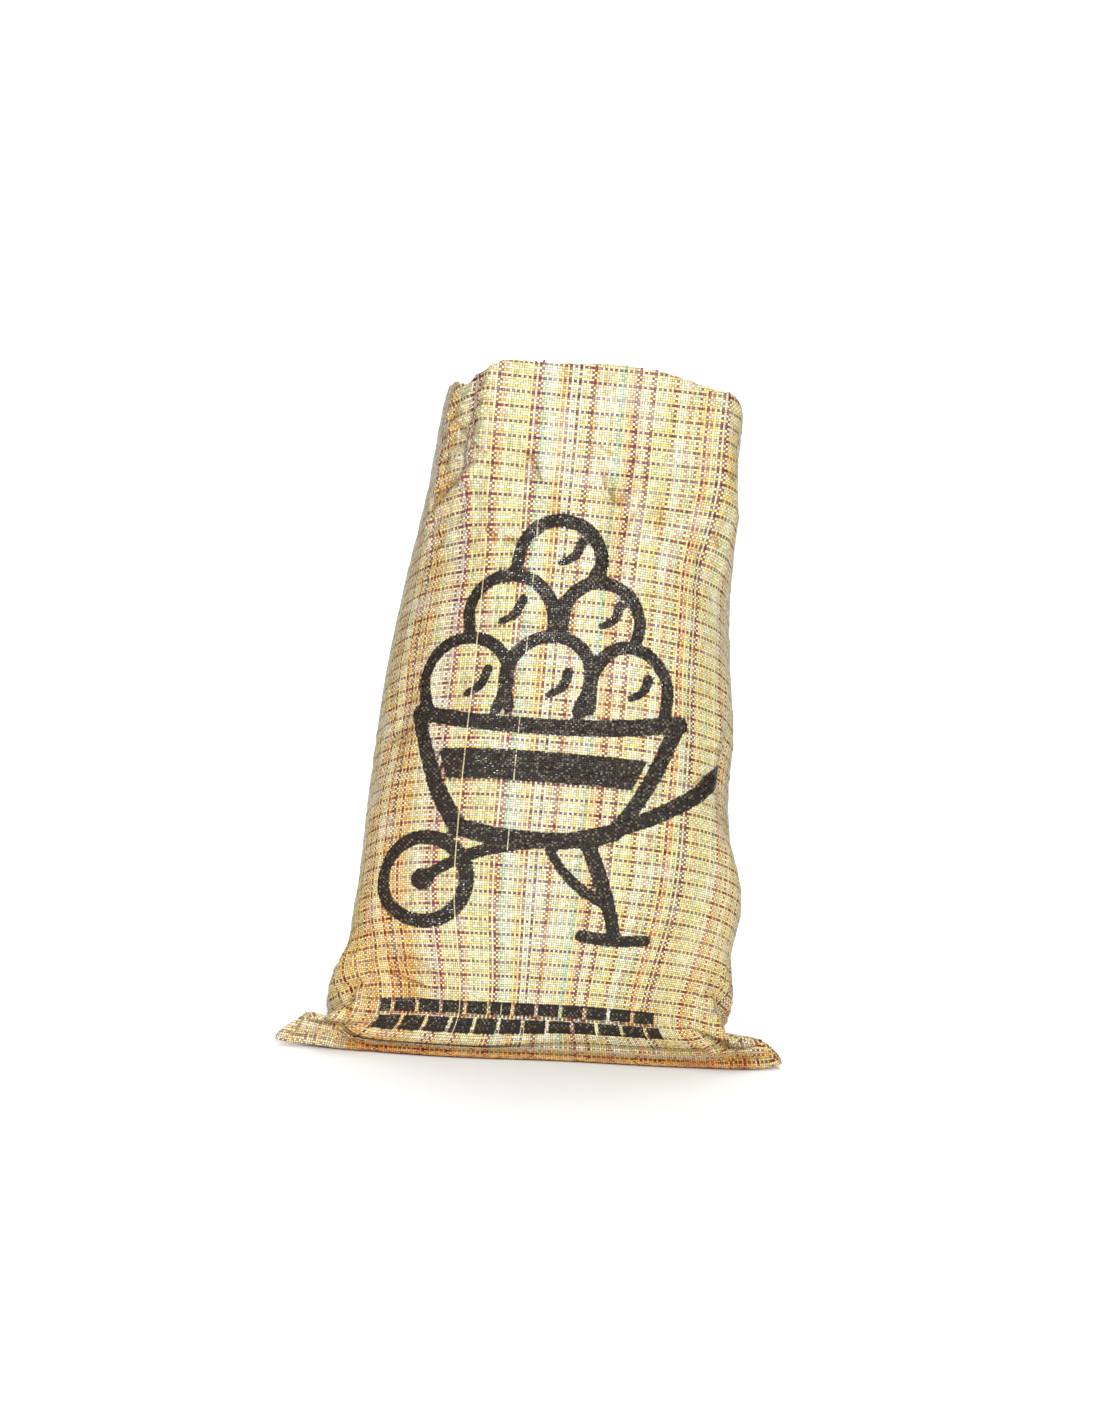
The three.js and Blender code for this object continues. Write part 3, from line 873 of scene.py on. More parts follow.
@dataclass
class PaintedMotif:
    """A wheelbarrow heaped with stones, painted in fat black strokes, in millimetres of cloth.

    Strokes are lines through warp and weft places with a width at the start and at the end, rings
    have a middle, a radius and a width, and the panel is the filled stripe across the barrow.
    """

    strokes: tuple = (
        (((-152, 394), (-90, 380), (-10, 378), (70, 384), (124, 398)), 17, 19),
        (((122, 396), (102, 340), (84, 300), (62, 268)), 17, 15),
        (((-150, 392), (-132, 340), (-116, 300), (-94, 264)), 15, 19),
        (((-94, 264), (-50, 254), (20, 254), (64, 268)), 20, 18),
        (((-128, 206), (-98, 226), (-50, 246), (30, 258), (90, 282), (150, 322), (192, 366)),
         12, 19),
        (((36, 262), (54, 220), (68, 186), (80, 154)), 17, 14),
        (((44, 152), (80, 148), (116, 154)), 14, 12),
        (((-6, 256), (12, 226), (36, 202), (64, 190)), 9, 13),
        (((-140, 398), (-152, 432), (-134, 466), (-94, 476), (-62, 456), (-56, 424), (-66, 396)),
         14, 13),
        (((-54, 398), (-64, 432), (-44, 470), (-4, 480), (26, 458), (28, 424), (18, 398)), 13, 15),
        (((28, 402), (26, 440), (50, 474), (88, 470), (110, 442), (108, 406)), 15, 13),
        (((-102, 478), (-108, 512), (-82, 540), (-44, 540), (-18, 514), (-14, 484)), 13, 15),
        (((-8, 484), (-6, 520), (26, 542), (62, 530), (76, 500), (70, 476)), 15, 13),
        (((-60, 544), (-56, 580), (-24, 604), (14, 594), (32, 562), (22, 540)), 13, 16),
        (((-98, 412), (-84, 420), (-79, 438)), 8, 11), (((-14, 414), (0, 422), (4, 440)), 8, 11),
        (((70, 418), (84, 426), (87, 442)), 8, 11), (((-70, 490), (-56, 497), (-50, 514)), 8, 11),
        (((34, 492), (48, 500), (51, 516)), 8, 11), (((-14, 556), (0, 562), (6, 579)), 8, 11),
    )
    rings: tuple = (((-128, 206), 47, 16), ((-128, 206), 6, 13))
    panel: tuple = ((-122, 352), (92, 352), (79, 318), (-110, 318))
    drop: float = 12.0
    far: float = 60.0

    def edge(self, warp: Array, weft: Array) -> Array:
        """How far each place on the cloth is outside the ink, less than 0 inside it.

        Args:
            warp: the places round the tube.
            weft: the places up the tube.

        Returns:
            The least of the distances to every stroke and ring and to the panel.
        """
        place = np.stack([warp, weft + self.drop], -1)
        distances = [np.full(warp.shape, self.far), self.to_panel(place)]
        for points, start, end in self.strokes:
            bent = self.rounded(np.array(points, float))
            widths = np.linspace(start, end, len(bent))
            for k in range(len(bent) - 1):
                distances.append(self.to_line(place, bent[k], bent[k + 1], widths[k : k + 2]))
        for middle, radius, width in self.rings:
            from_ring = np.abs(np.linalg.norm(place - middle, axis=-1) - radius)
            distances.append(from_ring - width / 2)
        return np.min(distances, 0)

    @staticmethod
    def rounded(points: Array) -> Array:
        """Rounds the corners of a line.

        Args:
            points: the line's corners.

        Returns:
            The line with its corners cut twice, by points a quarter along their two sides.
        """
        for _ in range(2):
            before, after = points[:-1], points[1:]
            cut = np.stack([before * 0.75 + after * 0.25, before * 0.25 + after * 0.75], 1)
            points = np.concatenate([points[:1], cut.reshape(-1, 2)[1:-1], points[-1:]])
        return points

    @staticmethod
    def to_line(place: Array, a: Array, b: Array, widths: Sequence[float]) -> Array:
        """How far places are outside a straight stroke.

        Args:
            place: the places.
            a: where the stroke starts.
            b: where it ends.
            widths: its width at the start and at the end.

        Returns:
            The distance to the line less half its width, which changes evenly along it.
        """
        share = np.clip(((place - a) @ (b - a)) / ((b - a) @ (b - a)), 0.0, 1.0)
        far = np.linalg.norm(place - a - share[..., None] * (b - a), axis=-1)
        return far - (widths[0] + (widths[1] - widths[0]) * share) / 2

    def to_panel(self, place: Array) -> Array:
        """How far places are outside the panel.

        Args:
            place: the places.

        Returns:
            The distance to its outline, less than 0 to the right of all four of its sides.
        """
        corners = np.array(self.panel, float)
        sides = list(zip(corners, np.roll(corners, -1, 0)))
        far = np.min([self.to_line(place, a, b, (0.0, 0.0)) for a, b in sides], 0)
        left = [(place - a) @ ((a - b)[1], (b - a)[0]) for a, b in sides]
        return np.where(np.max(left, 0) < 0, -far, far)


@dataclass
class SackForm:
    """The form in which the sack stands, before the cloth is settled on it. In millimetres."""

    hem: float = 25.0
    mouth: float = 756.0
    arc_steps: int = 1440
    edge_width: float = 7.0
    bow_end: float = 170.0
    layer: float = 0.9
    ear_share: tuple = (1.0, 0.15)
    ear_start: float = 150.0
    ear_full: float = 262.0
    forward_full: float = 260.0
    ear_forward: float = 10.0
    ear_middle: float = 42.0
    ear_spread: float = 30.0
    tip_start: float = -222.0
    tip_full: float = -262.0
    tip_top: float = 60.0
    tip_pinch: float = 13.0
    seam_over: float = 4.0
    left_gather: float = 0.960
    rounding: float = 2.5
    blur_reach: int = 30
    corner_start: float = 535.0
    corner_full: float = 655.0
    left_sag: float = 7.0
    sag_right: tuple = (60.0, -60.0)
    sag_left: tuple = (-232.0, -185.0)
    sag_middle: float = 16.0
    sag_spread: float = 13.0
    sag_forward: float = 0.6

    def outline(self, square: tuple, half: tuple, depth: float) -> tuple:
        """The round outline of the tube at one height.

        Args:
            square: squareness of the left and the right half.
            half: half width on the left and on the right.
            depth: from front to back.

        Returns:
            x, the place from front (1) to back (-1), the arc from the front's middle, and the
            girth. It is a superellipse: x and y are powers of one angle's sine and cosine.
        """
        angle = np.linspace(-math.pi, math.pi, self.arc_steps + 1)
        sine, cosine = np.sin(angle), np.cos(angle)
        power = 2 / np.where(angle > 0, square[1], square[0])
        x = np.sign(sine) * np.abs(sine) ** power * np.where(angle > 0, half[1], half[0])
        share = np.sign(cosine) * np.abs(cosine) ** power
        arc = run_along(x, share, depth)
        return x, share, arc - np.interp(0.0, angle, arc), arc[-1]

    def mouth_outline(self, half: tuple, depth: float) -> tuple:
        """The cornered outline of the tube at its mouth, in the same terms as outline().

        Args:
            half: half width on the left and on the right.
            depth: from front to back.

        Returns:
            x, share, arc and girth, from the corners joined by straight lines and then rounded
            by a running mean.
        """
        corner_x, corner_y = MOUTH_CORNERS.T
        share = 1 - 2 * (corner_y - corner_y.min()) / (corner_y.max() - corner_y.min())
        run = run_along(corner_x, share, depth)
        even = np.linspace(0.0, run[-1], self.arc_steps + 1)
        reach = self.blur_reach
        steps = np.arange(-reach, reach + 1) * run[-1] / self.arc_steps
        blur = np.exp(-((steps / self.rounding) ** 2))
        rounded = []
        for line in (corner_x, share):
            values = np.interp(even, run, line)[:-1]
            padded = np.concatenate([values[-reach:], values, values[: reach + 1]])
            rounded.append(np.convolve(padded, blur / blur.sum(), "valid"))
        x, share = rounded
        x = x * np.where(x < 0, half[0] / -x.min(), half[1] / x.max())
        arc = run_along(x, share, depth)
        in_front = share > 0
        return x, share, arc - np.interp(0.0, x[in_front], arc[in_front]), arc[-1]

    def ring(self, warp: Array, row: Array) -> Array:
        """The places of one turn of weft.

        Args:
            warp: the places round the tube.
            row: weft and the ten values of SECTIONS at that height.

        Returns:
            One point for each place. It mixes the flat double layer with the round outline by the
            fullness, and lets the sides slump from the front's height to the back's.
        """
        weft, front_y, front_z, back_y, back_z, left, right, full, square_l, square_r, slump = row
        depth = max(math.hypot(front_y - back_y, front_z - back_z), 1.0)
        flat_x = np.where(np.abs(warp) <= SIDE, warp, np.sign(warp) * HALF_GIRTH - warp)
        flat_x = np.where(flat_x < 0, flat_x * self.left_gather, flat_x)
        cornered = float(smooth_step(self.corner_start, self.corner_full, weft))
        outlines = (
            (full * (1 - cornered), self.outline((square_l, square_r), (left, right), depth)),
            (full * cornered, self.mouth_outline((left, right), depth)),
        )
        x, share = (1 - full) * flat_x, (1 - full) * self.layer_share(warp)
        for weight, (round_x, round_share, arc, total) in outlines:
            at = warp / (2 * HALF_GIRTH) * total
            at = np.where(at > arc[-1], at - total, np.where(at < arc[0], at + total, at))
            x = x + weight * np.interp(at, arc, round_x)
            share = share + weight * np.interp(at, arc, round_share)
        lift = np.clip((share + 1) / 2, 0.0, 1.0) ** slump
        fade = 1 - float(smooth_step(0.0, self.bow_end, weft))
        bow = monotone_curve(x, HEM_LINE[:, 0], HEM_LINE[:, 1]) * fade
        by_ear = math.exp(-(((weft - self.ear_middle) / self.ear_spread) ** 2))
        forward = smooth_step(self.ear_start, self.forward_full, np.abs(x)) * self.ear_forward
        bow = bow - forward * by_ear
        y = back_y + (front_y - back_y) * lift + bow
        return np.stack([x, y, back_z + (front_z - back_z) * lift], -1)

    def layer_share(self, warp: Array) -> Array:
        """1 on the front layer and -1 on the back one, evenly from one to the other at a side."""
        return np.clip((SIDE - np.abs(warp)) / self.edge_width, -1.0, 1.0)

    def unfolded(self, weft: Array) -> Array:
        """How far up a place lies, where the flap under the hem counts back up from the fold."""
        return np.where(weft < -self.hem, -2 * self.hem - weft, weft)

    def surface(self, warp: Array, weft: Array) -> Array:
        """The standing form: a ring for each weft, with the hem's flap folded in under it.

        Args:
            warp: the places round the tube.
            weft: the places up the tube, from -50 at the flap's raw edge.

        Returns:
            A grid of points, one row for each weft.
        """
        up = self.unfolded(weft)
        columns = [monotone_curve(up, SECTIONS[:, 0], column) for column in SECTIONS.T[1:]]
        table = np.stack([up, *columns], -1)
        points = np.stack([self.ring(warp, row) for row in table])
        front = self.layer_share(warp)
        under = smooth_step(-self.hem + 2.0, -self.hem - 4.0, weft)[:, None]
        flap_z = table[:, 4][:, None] - self.layer * (1.5 + 0.5 * front)[None]
        points[..., 2] += (flap_z - points[..., 2]) * under
        x = points[..., 0]
        ear = smooth_step(self.ear_start, self.ear_full, np.abs(x))
        ear = ear * np.where(x < 0, *self.ear_share)
        points[..., 2] += ear * np.interp(up, EAR_RISE[:, 0], EAR_RISE[:, 1])[:, None]
        # the hem sags forward and down between the left ear and the middle
        sag = smooth_step(*self.sag_right, x) * smooth_step(*self.sag_left, x)
        by_hem = np.exp(-(((up - self.sag_middle) / self.sag_spread) ** 2))
        sag = sag * by_hem[:, None] * (front > 0)[None]
        points[..., 1] -= sag * self.left_sag * self.sag_forward
        over = smooth_step(-self.hem, self.seam_over, up)
        points[..., 2] -= sag * self.left_sag * over[:, None]
        return points

    def pinched(self, points: Array, weft: Array) -> Array:
        """Draws in the top of the left ear's tip.

        Args:
            points: the grid of points.
            weft: the places up the tube, for each point.

        Returns:
            The moved points.
        """
        moved = points.copy()
        up = self.unfolded(weft)
        left = smooth_step(self.tip_start, self.tip_full, points[..., 0]) * (up < self.tip_top)
        moved[..., 0] += left * smooth_step(-self.hem, self.seam_over, up) * self.tip_pinch
        return moved

    def pushed(
        self, points: Array, warp: Array, weft: Array, folds: tuple, more: Array | float = 0.0
    ) -> Array:
        """Pushes folds in or out, level with the ground and square to the cloth.

        Args:
            points: the grid of points.
            warp: the places round the tube, for each point.
            weft: the places up the tube, for each point.
            folds: rows of FOLDS.
            more: what each point is pushed out as well.

        Returns:
            The moved points.
        """
        along = np.roll(points, -1, 1) - np.roll(points, 1, 1)
        normal = unit(np.stack([along[..., 1], -along[..., 0]], -1), 1e-9)
        moved = points.copy()
        moved[..., :2] += normal * (self.push(warp, weft, folds) + more)[..., None]
        return moved

    @staticmethod
    def push(warp: Array, weft: Array, folds: tuple) -> Array:
        """How far the folds push each place out.

        Args:
            warp: the places round the tube.
            weft: the places up the tube.
            folds: rows of FOLDS.

        Returns:
            The sum over the folds of height times exp(-(distance / width) ** edge), each fading
            to nothing at its two ends.
        """
        push = np.zeros(warp.shape)
        for warp0, weft0, warp1, weft1, height, width, edge in folds:
            run = (weft - weft0) / (weft1 - weft0)
            fade = smooth_step(0.0, FOLD_END, run) * smooth_step(0.0, FOLD_END, 1 - run)
            off = np.abs(warp - (warp0 + (warp1 - warp0) * run)) / width
            push += height * fade * np.exp(-(off**edge))
        return push


@dataclass
class Settling:
    """Settles the cloth: tapes keep their length, folds soften, the form holds it loosely."""

    rounds: int
    hold: float
    bend: float
    stretch: float = 1.0
    shear: float = 0.22
    freed: float = 0.93
    apart: float = 1.7
    ear: tuple = (-24.0, 70.0)
    flap_top: float = -25.0

    @staticmethod
    def pull(points: Array, a: tuple, b: tuple, length: Array, stiffness: float) -> None:
        """Moves pairs of points so that they come nearer to their length apart.

        Args:
            points: the grid of points, changed in place.
            a: the first point of each pair, as an index.
            b: the second point of each pair.
            length: how far apart each pair should be.
            stiffness: the share of the error that is taken away.
        """
        gap = points[b] - points[a]
        far = np.sqrt(np.einsum("...k,...k->...", gap, gap)) + 1e-9
        gap *= (stiffness * 0.5 * (1 - length / far))[..., None]
        points[a] += gap
        points[b] -= gap

    def pairs(self, form: Array, warp: Array, weft: Array, true: Array) -> list[tuple]:
        """Every pair of points that a tape, a corner of the weave or a bend joins.

        Args:
            form: the standing form that the cloth starts from.
            warp: the places round the tube, for each point.
            weft: the places up the tube, for each point.
            true: from 0, where the form's own lengths are kept, to 1, where the cloth's are.

        Returns:
            Groups of pairs that share no point, each with its lengths and its stiffness.
        """
        rows, columns = warp.shape
        steps = [(0, 1, self.stretch), (1, 0, self.stretch), (1, 1, self.shear)]
        steps += [(1, -1, self.shear), (0, 2, self.bend), (2, 0, self.bend)]
        groups = []
        for up, side, stiffness in steps:
            block = max(up, abs(side))
            for half in range(2):
                row, column = np.arange(rows - up), np.arange(columns)
                if side:
                    column = column[(column // block) % 2 == half]
                else:
                    row = row[(row // block) % 2 == half]
                a = (row[:, None], column[None])
                b = (a[0] + up, (a[1] + side) % columns)
                across = (warp[b] - warp[a] + HALF_GIRTH) % (2 * HALF_GIRTH) - HALF_GIRTH
                cut = np.hypot(across, weft[b] - weft[a])
                stood = np.linalg.norm(form[b] - form[a], axis=-1)
                length = stood + (cut - stood) * (true[a] + true[b]) / 2
                groups.append((a, b, length, stiffness))
        return groups

    def settle(self, form: Array, points: Array, warp: Array, weft: Array, loose: Array) -> Array:
        """Lets the cloth find its folds.

        Args:
            form: the standing form that holds the cloth.
            points: the grid of points to start from.
            warp: the places round the tube, for each point.
            weft: the places up the tube, for each point.
            loose: from 0, held to the form, to 1, nearly free.

        Returns:
            The settled points, above the ground and with the ears' layers apart.
        """
        settled = points.copy()
        groups = self.pairs(form, warp, weft, loose)
        hold = (self.hold * (1 - self.freed * loose))[..., None]
        columns = warp.shape[1]
        opposite = (columns // 2 - np.arange(columns)) % columns
        in_ear = (weft > self.ear[0]) & (weft < self.ear[1]) & (np.abs(warp) < SIDE)
        ground = np.where(weft < self.flap_top, form[..., 2], 0.0)
        for _ in range(self.rounds):
            for group in groups:
                self.pull(settled, *group)
            settled += hold * (form - settled)
            height = np.maximum(settled[..., 2], ground)
            above = np.maximum(height, height[:, opposite] + self.apart)
            settled[..., 2] = np.where(in_ear, above, height)
        return settled


@dataclass
class SackCloth:
    """The woven tube itself, with its folded hem. Sizes in millimetres.

    Each of the grids is how many fine steps make one of its own, the rounds it settles for and
    how firmly the form holds it. The unevenness is in steps of the grid.
    """

    form: SackForm = field(default_factory=SackForm)
    columns: int = 240
    rows: int = 176
    flap: float = 25.0
    wall: float = 0.8
    trimmed_from: float = 690.0
    uneven_wave: float = 6.0
    uneven: float = 0.065
    uneven_seed: int = 31
    body: tuple = (20.0, 110.0)
    loose_up: tuple = (170.0, 70.0)
    loose_side: tuple = (120.0, 50.0)
    loose_from: float = -24.0
    bend: float = 0.02
    crumple: float = 0.28
    panel_crumple: float = 1.1
    crumple_wave: float = 26.0
    crumple_seed: int = 53
    crumple_up: tuple = (20.0, 90.0)
    panel: tuple = ((-95.0, -115.0), (-200.0, -165.0), (520.0, 590.0), (756.0, 720.0))
    # how much painted shade the creases and, less so, the folds give each vertex
    crease_shade_sharp: float = 0.11
    crease_shade_broad: float = 0.012
    most_crease_shade: float = 0.9
    grids: tuple = ((4, 160, 0.02), (2, 120, 0.03), (1, 60, 0.05))
    points: Array | None = None
    warp: Array | None = None
    weft: Array | None = None

    def guide(self, columns: int, rows: int) -> tuple[Array, Array, Array]:
        """The standing form at one fineness, with its folds, its top row on the cut edge.

        Args:
            columns: points round the tube.
            rows: steps up the tube.

        Returns:
            The points, and their warp and weft.
        """
        round_ = -HALF_GIRTH + 2 * HALF_GIRTH * np.arange(columns) / columns
        up = np.linspace(-self.form.hem - self.flap, self.form.mouth, rows + 1)
        warp, weft = np.meshgrid(round_, up)
        trim = np.interp(warp, TRIMS[:, 0], TRIMS[:, 1])
        weft = weft + trim * smooth_step(self.trimmed_from, self.form.mouth, weft)
        points = self.form.surface(round_, up)
        rise = np.gradient(points, up, axis=0)
        points = points + rise * (weft - up[:, None])[..., None]
        return self.form.pushed(points, warp, weft, FOLDS), warp, weft

    def settle(self) -> None:
        """Settles the cloth on three grids, from coarse to fine, and keeps the last."""
        moved = None
        for level, (fineness, rounds, hold) in enumerate(self.grids):
            columns = self.columns // fineness
            form, warp, weft = self.guide(columns, self.rows // fineness)
            points = form.copy() if moved is None else form + self.finer(moved)
            spacing = 2 * HALF_GIRTH / columns
            wave, seed = spacing * self.uneven_wave, self.uneven_seed + level
            uneven = soft_noise(warp.shape, spacing, wave, seed) * spacing * self.uneven
            body = smooth_step(*self.body, weft)
            points[..., 1] += uneven * body
            points[..., 0] += np.roll(uneven, columns // 3, 1) * body
            side = np.abs(np.abs(warp) - SIDE)
            loose = smooth_step(*self.loose_up, weft) * smooth_step(*self.loose_side, side)
            loose = loose * (weft > self.loose_from)
            settling = Settling(rounds=rounds, hold=hold, bend=self.bend * fineness)
            settled = settling.settle(form, points, warp, weft, loose)
            moved = settled - form
            strain = np.linalg.norm(np.diff(settled, axis=0), axis=-1) / np.diff(weft, axis=0) - 1
            report = "grid %d: moved %.1f mm, warp strain %.3f"
            log.info(report, fineness, np.abs(moved).mean(), np.abs(strain).mean())
        crumple = soft_noise(warp.shape, spacing, self.crumple_wave, self.crumple_seed)
        crumple = crumple * self.crumpled(warp, weft)
        pressed = self.form.pushed(settled, warp, weft, CREASES, crumple)
        self.points, self.warp, self.weft = self.form.pinched(pressed, weft), warp, weft

    def crumpled(self, warp: Array, weft: Array) -> Array:
        """How deep the small crumples are.

        Args:
            warp: the places round the tube.
            weft: the places up the tube.

        Returns:
            A little all over, and more on the panel beside the front's left corner.
        """
        right, left, low, high = self.panel
        panel = smooth_step(*right, warp) * smooth_step(*left, warp)
        panel = panel * smooth_step(*low, weft) * smooth_step(*high, weft)
        return (self.crumple + self.panel_crumple * panel) * smooth_step(*self.crumple_up, weft)

    @staticmethod
    def finer(values: Array) -> Array:
        """Values on a grid of twice the fineness.

        Args:
            values: the values by row and column.

        Returns:
            The same values, with the mean of its neighbours in the middle of each step.
        """
        wide = np.stack([values, (values + np.roll(values, -1, 1)) / 2], 2)
        wide = wide.reshape(len(values), -1, values.shape[2])
        tall = np.empty((2 * len(wide) - 1, *wide.shape[1:]))
        tall[0::2], tall[1::2] = wide, (wide[:-1] + wide[1:]) / 2
        return tall

    def build(self) -> Piece:
        """Makes the mesh, with how inked each vertex is and how much painted shade its creases give
        it.

        Returns:
            The cloth's object, one layer of faces with a thin wall from Solidify.
        """
        places = np.stack([self.warp, self.weft], -1)
        sack = new_piece("woven_sack", self.points * MM, places * MM, (2 * HALF_GIRTH * MM, 0.0))
        add_wall(sack, self.wall, -1.0)
        sack.modifiers["wall"].material_offset = sack.modifiers["wall"].material_offset_rim = 1
        numbers = {"ink": PaintedMotif().edge(self.warp, self.weft), "worn": self.worn()}
        for name, values in numbers.items():
            kept = sack.data.attributes.new(name, "FLOAT", "POINT")
            kept.data.foreach_set("value", values.astype(np.float32).ravel())
        return sack

    def worn(self) -> Array:
        """How much painted shade the creases and folds give each place.

        Returns:
            From 0 to the most, by how deep the creases and, less so, the folds push it in.
        """
        sharp = self.form.push(self.warp, self.weft, CREASES)
        broad = self.form.push(self.warp, self.weft, FOLDS)
        worn = -sharp * self.crease_shade_sharp - broad * self.crease_shade_broad
        return np.clip(worn, 0.0, self.most_crease_shade)

    def column(self, warp: Array) -> tuple[Array, Array, Array]:
        """Where places round the tube lie between the grid's columns.

        Args:
            warp: the places round the tube.

        Returns:
            The column on each side of it, and the share of the way from one to the other.
        """
        columns = self.warp.shape[1]
        column = (warp + HALF_GIRTH) / (2 * HALF_GIRTH) * columns
        j = np.floor(column).astype(int)
        return j % columns, (j + 1) % columns, (column - j)[..., None]

    def at(self, warp: Array, weft: Array) -> tuple[Array, Array]:
        """Where places below the mouth are on the settled cloth, and its outward direction.

        Args:
            warp: the places round the tube.
            weft: the places up the tube.

        Returns:
            The points, evenly between the grid's, and the cross product of its two directions.
        """
        below = self.form.hem + self.flap
        row = (weft + below) / (self.form.mouth + below) * (len(self.warp) - 1)
        i = np.floor(row).astype(int)
        here, there, side = self.column(warp)
        corner = [self.points[i + up, column] for up in (0, 1) for column in (here, there)]
        low = corner[0] * (1 - side) + corner[1] * side
        high = corner[2] * (1 - side) + corner[3] * side
        normal = np.cross((corner[1] - corner[0]) + (corner[3] - corner[2]), high - low)
        up = (row - i)[..., None]
        return low * (1 - up) + high * up, unit(normal)

    def rim(self, warp: Array) -> tuple[Array, ...]:
        """Places on the raw edge of the mouth.

        Args:
            warp: the places round the tube.

        Returns:
            The points, and the cloth's directions there: outward, upward, and round the tube.
        """
        here, there, side = self.column(warp)
        rows = (self.points[-1], self.points[-3])
        edge, below = ((1 - side) * row[here] + side * row[there] for row in rows)
        round_, rising = unit(rows[0][there] - rows[0][here]), unit(edge - below)
        return edge, unit(np.cross(round_, rising)), rising, round_


def put(name: str, data: bpy.types.ID) -> Piece:
    """Puts an object into the scene.

    Args:
        name: the object's name.
        data: its mesh, lamp or camera.

    Returns:
        The new object.
    """
    placed = bpy.data.objects.new(name, data)
    bpy.context.scene.collection.objects.link(placed)
    return placed


def add_wall(piece: Piece, thickness: float, offset: float) -> None:
    """Gives a piece a wall of that many millimetres; offset is -1 inwards and 0 both ways."""
    wall = piece.modifiers.new("wall", "SOLIDIFY")
    wall.thickness, wall.offset = thickness * MM, offset


def four_corners(grid: Array) -> Array:
    """The values at the four corners of each face of a grid."""
    low, high = grid[..., :-1, :], grid[..., 1:, :]
    return np.stack([low[..., :-1], low[..., 1:], high[..., 1:], high[..., :-1]], -1)


def new_piece(
    name: str, points: Array, places: Array, turn: tuple = (), caps: Sequence = ()
) -> Piece:
    """Puts one grid of points, or several, into the scene as a mesh of four-cornered faces.

    Args:
        name: the piece's name.
        points: the points of each grid by row and column, in metres.
        places: each point's cloth place, in metres.
        turn: what a place grows by once round, where the columns join up.
        caps: the columns of each face that closes a grid's first and last row.

    Returns:
        The new object, at the origin and shaded smooth.
    """
    index = np.arange(points[..., 0].size).reshape(points.shape[:-1])
    ends = [index[..., 0, cap[::-1]] for cap in caps] + [index[..., -1, cap] for cap in caps]
    if turn:
        index = np.concatenate([index, index[..., :1]], -1)
        places = np.concatenate([places, places[..., :1, :] + turn], -2)
    faces = np.concatenate([four_corners(index).reshape(-1, 4), *ends])
    uv = np.zeros((len(faces), 4, 2), np.float32)
    walls = np.stack([four_corners(places[..., k]) for k in (0, 1)], -1).reshape(-1, 4, 2)
    uv[: len(walls)] = walls
    mesh = bpy.data.meshes.new(name)
    mesh.from_pydata(points.reshape(-1, 3).tolist(), [], faces.tolist())
    mesh.uv_layers.new(name="cloth")
    mesh.uv_layers["cloth"].data.foreach_set("uv", uv.ravel())
    mesh.polygons.foreach_set("use_smooth", np.ones(len(faces), bool))
    mesh.update()
    return put(name, mesh)


def new_rods(name: str, paths: Array, radius: float, sides: int = 6) -> Piece:
    """Puts round rods along many paths of the same number of points into the scene.

    Args:
        name: the piece's name.
        paths: the points of each path, as rods, points along the rod, and x, y, z.
        radius: the rods' radius.
        sides: the number of flats round a rod, an even number.

    Returns:
        One object. A circle is carried square to each path, its two ends are closed by strips
        of faces, and its cloth place is how far along the rod and how far round it.
    """
    along = unit(np.gradient(paths, axis=1))
    steep = np.abs(along[..., 2]).mean(1) > STEEP
    reference = np.where(steep[:, None], (0.0, 1.0, 0.0), (0.0, 0.0, 1.0))[:, None]
    side = unit(np.cross(along, reference))
    top = np.cross(side, along)
    angle = 2 * math.pi * np.arange(sides) / sides
    ring = np.cos(angle)[:, None] * side[:, :, None] + np.sin(angle)[:, None] * top[:, :, None]
    steps = np.linalg.norm(np.diff(paths, axis=1, prepend=paths[:, :1]), axis=-1)
    run = np.cumsum(steps, 1)[..., None]
    places = np.stack(np.broadcast_arrays(run, np.arange(sides) / sides), -1)
    caps = [[0, k, k + 1, k + 2] for k in range(1, sides - 2, 2)]
    return new_piece(name, paths[:, :, None] + radius * ring, places, (0.0, 1.0), caps)


@dataclass
class HemSeam:
    """The chain of stitches that closes the folded hem, from ear to ear. In millimetres."""

    line: float = -11.0
    pitch: float = 7.2
    margin: float = 6.0
    thread: float = 0.45
    steps: int = 7
    run: tuple = (0.04, 0.96)
    wander: float = 0.35
    wave: float = 37.0
    wave_height: float = 0.8
    arch: tuple = (0.25, 0.65, 0.6)
    seed: int = 5

    def build(self, cloth: SackCloth) -> Piece:
        """Makes the stitches on the hem's top face.

        Args:
            cloth: the settled sack.

        Returns:
            One object of short rods, each arching from its needle hole to the next by a power of
            half a sine wave.
        """
        count = int((2 * SIDE - 2 * self.margin) / self.pitch)
        share = np.linspace(*self.run, self.steps)
        starts = -SIDE + self.margin + self.pitch * np.arange(count)
        warp = starts[:, None] + self.pitch * share
        wander = np.random.default_rng(self.seed).normal(0.0, self.wander, (count, 1))
        waved = np.sin(warp / self.wave) * self.wave_height
        points, normal = cloth.at(warp, self.line + wander + waved)
        least, most, power = self.arch
        arch = least + most * np.sin(math.pi * share) ** power
        paths = points + normal * arch[None, :, None]
        return new_rods("hem_stitches", paths * MM, self.thread * MM)


